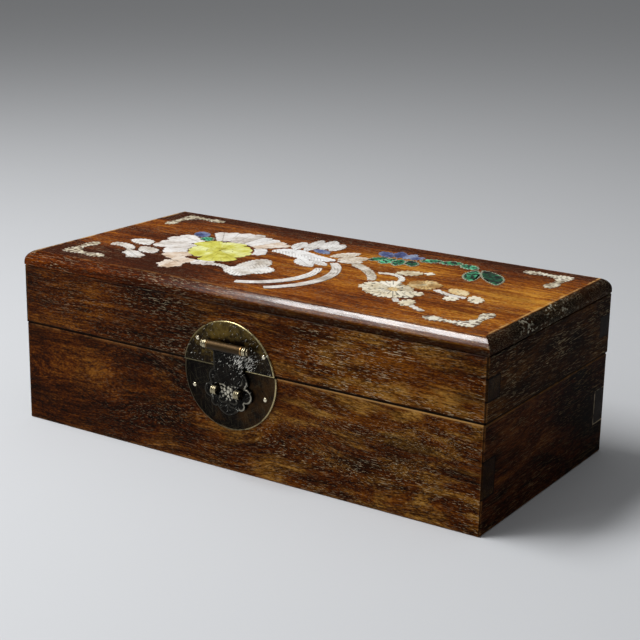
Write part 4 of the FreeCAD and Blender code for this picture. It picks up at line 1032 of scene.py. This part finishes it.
def makeRod():
    bar, knob, knobAt = rodShape["bar"], rodShape["knob"], rodShape["knobAt"]
    end = []
    for step in range(13):
        turn = math.radians(15 * step)
        end.append((knobAt + rodShape["knobHalf"] * -math.cos(turn), max(0.02, knob * math.sin(turn))))
    right = [(rodShape["half"], bar)] + [(x, radius) for x, radius in end if radius >= bar or x > knobAt]
    profile = [(-x, radius) for x, radius in reversed(right)] + [(0.0, bar)] + right
    points, faces = turnedShape(profile, (rodX, lock["rodY"], lock["rodZ"]), rodShape["steps"])
    mesh = meshFrom("hasp_rod", points, faces)
    reshape(mesh, joinDoubles)
    setRub(mesh, lambda p: 0.8 if math.hypot(p.y - lock["rodY"], p.z - lock["rodZ"]) > rodShape["rubbedFrom"]
           else 0.3)
    newObject("knobbed_rod", mesh, brass["eye"], "lid", "hasp_rod")


makeRod()


# flap: cloud-shaped sheet rolled round the rod, with a filed rim and chased flowers
flap = {
    "edge": [(9.6, 3.4, 12.7, -1.0), (11.2, -4.8, 15.6, -8.6), (10.6, -13.2, 11.1, -15.9),
             (6.9, -17.4, 4.4, -20.0)],      # on the right: each arc's first and middle point
    "foot": (0.0, -21.6),
    "neck": 10.2,
    "neckSteps": (27, 36),      # how many points run up the neck's sides and across it
    "bounds": (-17, 17, -23, 21),     # x and z between which the grid of points lies, from the middle
    "grid": 0.55,
    "rowShare": 0.866,          # the height of a row of the grid against its step
    "clear": 0.25,              # how near a grid point may come to an edge
    "rimAt": 0.55,
    "rimWide": 0.40,
    "rimHigh": 0.30,
    "slotHalf": 1.9,
    "slotZ": (43.05, 48.95),
    "slotSteps": 8,
    "roll": [(11.6, 1.4), (11.6, 2.25), (11.48, 2.45), (11.2, 2.55), (10.7, 2.55), (10.4, 2.55)],
    "rollBore": 1.36,
    "rollSteps": 48,
    "reliefHigh": 0.55,
    "plainFrom": 4.0,           # the sheet is plain from this far below the rod
    "rollFrom": 3.0,
    "flower": (5.6, -13.2, -4.6),     # half width, foot and top of the rubbed flower, from the middle
    "paleLowerRight": (7.0, -1.0),     # the rim and relief are rubbed paler right of this x and below this z
}

# chased lines, from the middle of the flap: points of a curved stroke on the right, its half width, and how
# high it stands there and at its mirror image on the left
flapStrokes = [
    ([(6.2, 0.6), (8.6, -0.2), (9.3, -2.4), (7.6, -3.6)], 0.5, 0.25, 0.25),
    ([(1.0, -14.0), (4.2, -14.9), (6.4, -13.4), (5.6, -11.9)], 0.55, 0.6, 0.5),
    ([(0.0, -14.6), (0.0, -16.4), (0.0, -18.6)], 0.6, 0.4, 0.0),
    ([(0.6, -15.4), (2.4, -16.8), (3.9, -16.6)], 0.5, 0.5, 0.3),
    ([(2.4, -5.0), (3.6, -4.2), (5.0, -4.8)], 0.5, 0.7, 0.0),
    ([(2.0, -5.6), (3.6, -4.6), (5.2, -5.0)], 0.5, 0.0, 0.6),
]

# bosses of the chased flower between the staples: x, z and radius, from the middle of the flap
flapBosses = [
    (0.0, -8.3, 1.15), (-2.3, -7.5, 0.95), (-1.5, -9.8, 0.85), (2.0, -7.0, 1.0), (2.4, -9.3, 0.85),
    (0.2, -6.1, 0.8), (-4.1, -8.9, 0.8), (-4.4, -6.9, 0.65), (4.2, -8.0, 0.8), (4.6, -10.0, 0.6),
    (0.3, -10.8, 0.85), (-3.1, -11.0, 0.7), (2.9, -11.1, 0.65), (-0.9, -12.4, 0.55), (1.4, -12.7, 0.5)]


def arcThrough(a, b, c, step=0.5):
    # points on the circle through a, b and c, from a up to but not including c
    ax, az = a
    bx, bz = b[0] - ax, b[1] - az
    cx, cz = c[0] - ax, c[1] - az
    d = 2 * (bx * cz - bz * cx)
    ux = (cz * (bx * bx + bz * bz) - bz * (cx * cx + cz * cz)) / d
    uz = (bx * (cx * cx + cz * cz) - cx * (bx * bx + bz * bz)) / d
    radius = math.hypot(ux, uz)
    start, middle, end = (math.atan2(z - uz, x - ux) for x, z in ((0, 0), (bx, bz), (cx, cz)))
    sweep = (end - start) % (2 * math.pi)
    if (middle - start) % (2 * math.pi) > sweep:
        sweep -= 2 * math.pi
    count = max(3, int(abs(sweep) * radius / step))
    turns = [start + sweep * i / count for i in range(count)]
    return [(ax + ux + radius * math.cos(t), az + uz + radius * math.sin(t)) for t in turns]


def flapOutline():
    corners = [(x, z) for x, z, _, _ in flap["edge"]] + [flap["foot"]]
    right = []
    for (x, z, mx, mz), end in zip(flap["edge"], corners[1:]):
        right += arcThrough((x, z), (mx, mz), end)
    startX, startZ = corners[0]
    neck, top = flap["neck"], lock["rodZ"] - lockZ
    up, across = flap["neckSteps"]
    sides = [(startX + (neck - startX) * i / up, startZ + (top - startZ) * i / up) for i in range(1, up)]
    left = [(-x, z) for x, z in reversed(right)] + [(-x, z) for x, z in sides]
    edge = [(-neck + 2 * neck * i / across, top) for i in range(across + 1)]
    return right + [flap["foot"]] + left + edge + sides[::-1]


def closestOn(point, line, closed):
    best = 1e9
    pairs = zip(line, line[1:] + line[:1]) if closed else zip(line, line[1:])
    for (ax, az), (bx, bz) in pairs:
        dx, dz = bx - ax, bz - az
        share = ((point[0] - ax) * dx + (point[1] - az) * dz) / max(1e-9, dx * dx + dz * dz)
        share = clamped(share)
        best = min(best, math.hypot(point[0] - ax - share * dx, point[1] - az - share * dz))
    return best


def smoothLine(points):
    # a stroke's points with its corners rounded
    for _ in range(3):
        cut = [points[0]]
        for (ax, az), (bx, bz) in zip(points, points[1:]):
            cut += [((1 - t) * ax + t * bx, (1 - t) * az + t * bz) for t in (0.25, 0.75)]
        points = cut + [points[-1]]
    return points


def dome(distance, wide):
    return math.sqrt(max(0.0, 1 - (distance / wide) ** 2)) if distance < wide else 0.0


def flapHeight(x, z, edgeAway, strokes):
    # how far the chased face stands above the sheet
    high = flap["rimHigh"] * dome(abs(edgeAway - flap["rimAt"]), flap["rimWide"])
    if z > lock["rodZ"] - lockZ - flap["plainFrom"]:
        return 0.0
    for line, wide, share in strokes:
        high = max(high, share * flap["reliefHigh"] * dome(closestOn((x, z), line, False), wide))
    for bossX, bossZ, radius in flapBosses:
        high = max(high, flap["reliefHigh"] * dome(math.hypot(x - bossX, z - bossZ), radius))
    return high


def makeFlap():
    outline = flapOutline()
    slots = []
    low, high = (z - lockZ for z in flap["slotZ"])
    half, steps = flap["slotHalf"], flap["slotSteps"]
    for middle in (-lock["stapleX"], lock["stapleX"]):
        slot = []
        corners = [(-1, low), (1, low), (1, high), (-1, high), (-1, low)]
        for (ax, az), (bx, bz) in zip(corners, corners[1:]):
            for i in range(steps):
                slot.append((middle + half * (ax + (bx - ax) * i / steps), az + (bz - az) * i / steps))
        slots.append(slot)
    flatPoints, edges = [], []
    for line in [outline] + slots:
        start, count = len(flatPoints), len(line)
        flatPoints += line
        edges += [(start + i, start + (i + 1) % count) for i in range(count)]
    left, right, bottom, top = flap["bounds"]
    for row in range(int((top - bottom) / flap["grid"])):
        for column in range(int((right - left) / flap["grid"])):
            x = left + (column + 0.5 * (row % 2)) * flap["grid"]
            z = bottom + row * flap["grid"] * flap["rowShare"]
            if min(closestOn((x, z), line, True) for line in [outline] + slots) > flap["clear"]:
                flatPoints.append((x, z))
    found = geometry.delaunay_2d_cdt([Vector(p) for p in flatPoints], edges, [], 0, 1e-5)
    spots, triangles = found[0], found[2]
    strokes = []
    for line, wide, onRight, onLeft in flapStrokes:
        strokes.append((smoothLine(line), wide, onRight))
        strokes.append((smoothLine([(-x, z) for x, z in line]), wide, onLeft))
    kept = [t for t in triangles
            if insideFlap(sum((spots[i] for i in t), Vector((0, 0))) / 3, outline, slots)]
    points = []
    for spot in spots:
        high = flapHeight(spot.x, spot.y, closestOn(spot, outline, True), strokes)
        points.append((lockX + spot.x, lock["flapFace"] - high, lockZ + spot.y))
    count = len(points)
    points += [(x, lock["flapBack"], z) for x, _, z in points]
    faces = [tuple(t) for t in kept] + [tuple(i + count for i in reversed(t)) for t in kept]
    used = dict.fromkeys((a, b) for t in kept for a, b in zip(t, t[1:] + t[:1]))
    faces += [(b, a, a + count, b + count) for a, b in used if (b, a) not in used]
    half = flap["roll"][0][0]
    profile = [(-x, radius) for x, radius in flap["roll"]] + flap["roll"][::-1]
    profile += [(half, flap["rollBore"]), (-half, flap["rollBore"])]
    rollCentre = (rodX, lock["rodY"], lock["rodZ"])
    rollPoints, rollFaces = turnedShape(profile, rollCentre, flap["rollSteps"], closed=True)
    start = len(points)
    faces += [tuple(i + start for i in face) for face in rollFaces]
    mesh = meshFrom("hasp_flap", points + rollPoints, faces)
    reshape(mesh, lambda shape: bmesh.ops.delete(
        shape, geom=[v for v in shape.verts if not v.link_faces], context="VERTS"))

    def rubAt(point):
        if point.z > lock["rodZ"] - flap["rollFrom"]:
            return 0.9 if abs(abs(point.x - rodX) - half) < 0.5 else 0.1
        raised = clamped((lock["flapFace"] - point.y - 0.08) / 0.25)
        x, z = point.x - lockX, point.z - lockZ
        wide, foot, top = flap["flower"]
        right, high = flap["paleLowerRight"]
        if abs(x) < wide and foot < z < top:
            return raised
        return raised * (0.8 if x > right and z < high else 0.08)

    setRub(mesh, rubAt)
    newObject("cloud_flap", mesh, brass["flap"], "hasp", "hasp_flap")
    mesh.materials.append(brass["roll"])
    for face in mesh.polygons:
        if face.center.y < (lock["flapFace"] - 0.7) * mm or face.center.z > (lock["rodZ"] + 0.05) * mm:
            face.material_index = 1


def insideFlap(point, outline, slots):
    def within(line):
        crossed = False
        for (ax, az), (bx, bz) in zip(line, line[1:] + line[:1]):
            if (az > point[1]) != (bz > point[1]) and point[0] < ax + (point[1] - az) / (bz - az) * (bx - ax):
                crossed = not crossed
        return crossed
    return within(outline) and not any(within(slot) for slot in slots)


makeFlap()
print("rod and flap made")


# nails: round heads hammered a little uneven, one tree for every group
nailShape = {"Head Radius": 1.25, "Dome Height": 0.8, "Shank Radius": 0.6, "Shank Length": 7.9}
nailSeed = 7
# where the hinge nails are: each hinge's x, then how far from there and from the seam, mm
hingeNails = {"end": 92.0, "beside": 10.0, "near": 8.5, "far": 19.0}


def hingeSpots(way):
    beside, near, far = hingeNails["beside"], hingeNails["near"], hingeNails["far"]
    return [(end * hingeNails["end"] + x, boxFaces["seam"] + way * z)
            for end in (-1, 1) for x, z in ((-beside, near), (beside, near), (0.0, far))]


nailGroups = {
    "lock_nails_upper": {"body": "lid", "out": -1, "face": 74.75, "spots": [(-22.9, 71.8), (20.5, 68.8)]},
    "lock_nails_lower": {"body": "base", "out": -1, "face": 74.75, "spots": [(-25.1, 45.1), (21.7, 45.5)]},
    "hinge_nails_upper": {"body": "lid", "out": 1, "face": 74.95, "spots": hingeSpots(1)},
    "hinge_nails_lower": {"body": "base", "out": 1, "face": 74.95, "spots": hingeSpots(-1)},
}


def nailTree():
    tree = bpy.data.node_groups.new("hammeredNails", "GeometryNodeTree")
    for name, kind in (("Geometry", "Geometry"), *((name, "Float") for name in nailShape), ("Turn", "Vector"),
                       ("Seed", "Int"), ("Material", "Material")):
        tree.interface.new_socket(name, in_out="INPUT", socket_type="NodeSocket" + kind)
    tree.interface.new_socket("Geometry", in_out="OUTPUT", socket_type="NodeSocketGeometry")

    add = partial(addNode, tree)
    given = add("NodeGroupInput").outputs
    # head: a ball squashed to the dome's height, its lower half taken off
    ball = add("GeometryNodeMeshUVSphere", {"Segments": 24, "Rings": 16, "Radius": 1.0})
    height = add("SeparateXYZ", add("GeometryNodeInputPosition")).outputs["Z"]
    below = add("FunctionNodeCompare", height, -0.05, operation="LESS_THAN")
    cap = add("GeometryNodeDeleteGeometry", {"Geometry": ball, "Selection": below}, domain="FACE")
    size = add("CombineXYZ", given["Head Radius"], given["Head Radius"], given["Dome Height"])
    cap = add("GeometryNodeTransform", {"Geometry": cap, "Scale": size})
    bar = add("GeometryNodeMeshCylinder",
              {"Vertices": 16, "Radius": given["Shank Radius"], "Depth": given["Shank Length"]})
    sunk = add("CombineXYZ", {"Z": add("times", given["Shank Length"], -0.5)})
    bar = add("GeometryNodeTransform", {"Geometry": bar, "Translation": sunk})
    nail = add("GeometryNodeSetShadeSmooth",
               {"Geometry": add("GeometryNodeJoinGeometry", {"Geometry": [bar, cap]})})
    # hammer marks differ from nail to nail
    uneven = add("FunctionNodeRandomValue",
                 {"Min": (0.93, 0.93, 0.86), "Max": (1.06, 1.06, 1.1), "Seed": given["Seed"]},
                 data_type="FLOAT_VECTOR")
    points = add("GeometryNodeMeshToPoints", {"Mesh": given["Geometry"]})
    placed = add("GeometryNodeInstanceOnPoints",
                 {"Points": points, "Instance": nail, "Rotation": given["Turn"], "Scale": uneven})
    solid = add("GeometryNodeRealizeInstances", {"Geometry": placed})
    painted = add("GeometryNodeSetMaterial", {"Geometry": solid, "Material": given["Material"]})
    add("NodeGroupOutput", {"Geometry": painted})
    return tree


def makeNails(nodeName, group, tree):
    seats = meshFrom("nailSeats", [(x, group["out"] * group["face"], z) for x, z in group["spots"]], [])
    holder = linked("nailSeats", seats)
    nailing = holder.modifiers.new("nails", "NODES")
    nailing.node_group = tree
    values = {name: size * mm for name, size in nailShape.items()}
    values["Turn"] = (-group["out"] * math.pi / 2, 0.0, 0.0)
    values.update({"Seed": nailSeed, "Material": brass["nail"]})
    for item in tree.interface.items_tree:
        if item.in_out == "INPUT" and item.name in values:
            nailing[item.identifier] = values[item.name]
    evaluated = holder.evaluated_get(bpy.context.evaluated_depsgraph_get())
    mesh = bpy.data.meshes.new_from_object(evaluated)
    bpy.data.objects.remove(holder)
    setRub(mesh, lambda p: clamped((abs(p.y) - group["face"] - 0.15) / 0.3))
    newObject("hammered_" + nodeName, mesh, brass["nail"], group["body"], nodeName)


nailing = nailTree()
for nodeName, group in nailGroups.items():
    makeNails(nodeName, group, nailing)

for side in ("left", "right"):
    for nodeName in ("hinge_leaf_upper_", "hinge_leaf_lower_", "hinge_pin_"):
        leaf = nodes[nodeName + side].data
        leaf.materials.clear()
        leaf.materials.append(brass["hinge"])
print("nails and hinges made")


# floor, light and camera
stage = {
    "floorSize": 14.0,
    "floorColour": "#c6c8cb",
    "floorRough": 0.72,
    "mottle": 60.0,
    "horizon": 0.06,
    "overhead": 0.45,
    "lightsAim": (0.0, 0.0, 0.05),
    "cameraSpot": (0.449293, -0.677838, 0.301148),
    "cameraTurn": (-0.57875, -0.27862, 0.017499),   # yaw, pitch and roll in radians
    "lens": 83.42,
}

# each soft box: where it stands, its width and length in metres, which way it is long, and its power in watts
softBoxes = {
    "keyLight": {"spot": (-0.95, -1.30, 1.00), "size": (1.1, 1.1), "long": (0.0, 0.0, 1.0), "power": 9.0},
    "stripLight": {"spot": (-0.62, -0.44, 1.34), "size": (0.4, 1.0), "long": (0.0, 0.92, 0.39), "power": 22},
}


def makeFloor():
    half = stage["floorSize"] / 2 / mm
    corners = [(x * half, y * half, 0) for x, y in ((-1, -1), (1, -1), (1, 1), (-1, 1))]
    mesh = meshFrom("floor", corners, [(0, 1, 2, 3)])
    made, add, spot = newMaterial("paintedFloor")
    rough = add("timesPlus", add("TexNoise", spot, 1 / stage["mottle"], 3.0), 0.1, stage["floorRough"])
    shader = add("BsdfPrincipled", {"Base Color": stage["floorColour"], "Roughness": rough})
    add("OutputMaterial", {"Surface": shader})
    mesh.materials.append(made)
    linked("floor", mesh)


def makeWorld():
    # a plain grey room, brighter overhead
    world = bpy.data.worlds.new("room")
    bpy.context.scene.world = world
    world.use_nodes = True
    world.node_tree.nodes.clear()
    add = partial(addNode, world.node_tree)
    up = add("SeparateXYZ", add("TexCoord").outputs["Generated"]).outputs["Z"]
    rise = add("Math", add("most", up, 0.0), 2.0, operation="POWER")
    level = add("MapRange", rise, 0.0, 1.0, stage["horizon"], stage["overhead"])
    add("OutputWorld", {"Surface": add("Background", (1.0, 1.0, 1.0, 1.0), level)})


def placed(spot, right, up, back):
    # where a lamp or camera stands, and its three axes
    return Matrix.Translation(spot) @ Matrix((right, up, back)).transposed().to_4x4()


def makeLight(name, box):
    lamp = bpy.data.lights.new(name, "AREA")
    lamp.shape = "RECTANGLE"
    lamp.size, lamp.size_y = box["size"]
    lamp.energy = box["power"]
    spot = Vector(box["spot"])
    back = (spot - Vector(stage["lightsAim"])).normalized()
    side = Vector(box["long"]).cross(back).normalized()
    linked(name, lamp).matrix_world = placed(spot, side, back.cross(side), back)


def makeCamera():
    yaw, pitch, roll = stage["cameraTurn"]
    ahead = Vector((math.sin(yaw) * math.cos(pitch), math.cos(yaw) * math.cos(pitch), math.sin(pitch)))
    level = Vector((math.cos(yaw), -math.sin(yaw), 0.0))
    upright = level.cross(ahead)
    right = level * math.cos(roll) + upright * math.sin(roll)
    up = upright * math.cos(roll) - level * math.sin(roll)
    camera = linked("camera", bpy.data.cameras.new("camera"))
    camera.data.sensor_width = 36.0
    camera.data.lens = stage["lens"]
    camera.matrix_world = placed(stage["cameraSpot"], right, up, -ahead)
    bpy.context.scene.camera = camera


makeFloor()
makeWorld()
for name, box in softBoxes.items():
    makeLight(name, box)
makeCamera()
bpy.context.scene.view_settings.view_transform = "Standard"
print("floor, lights and camera set")
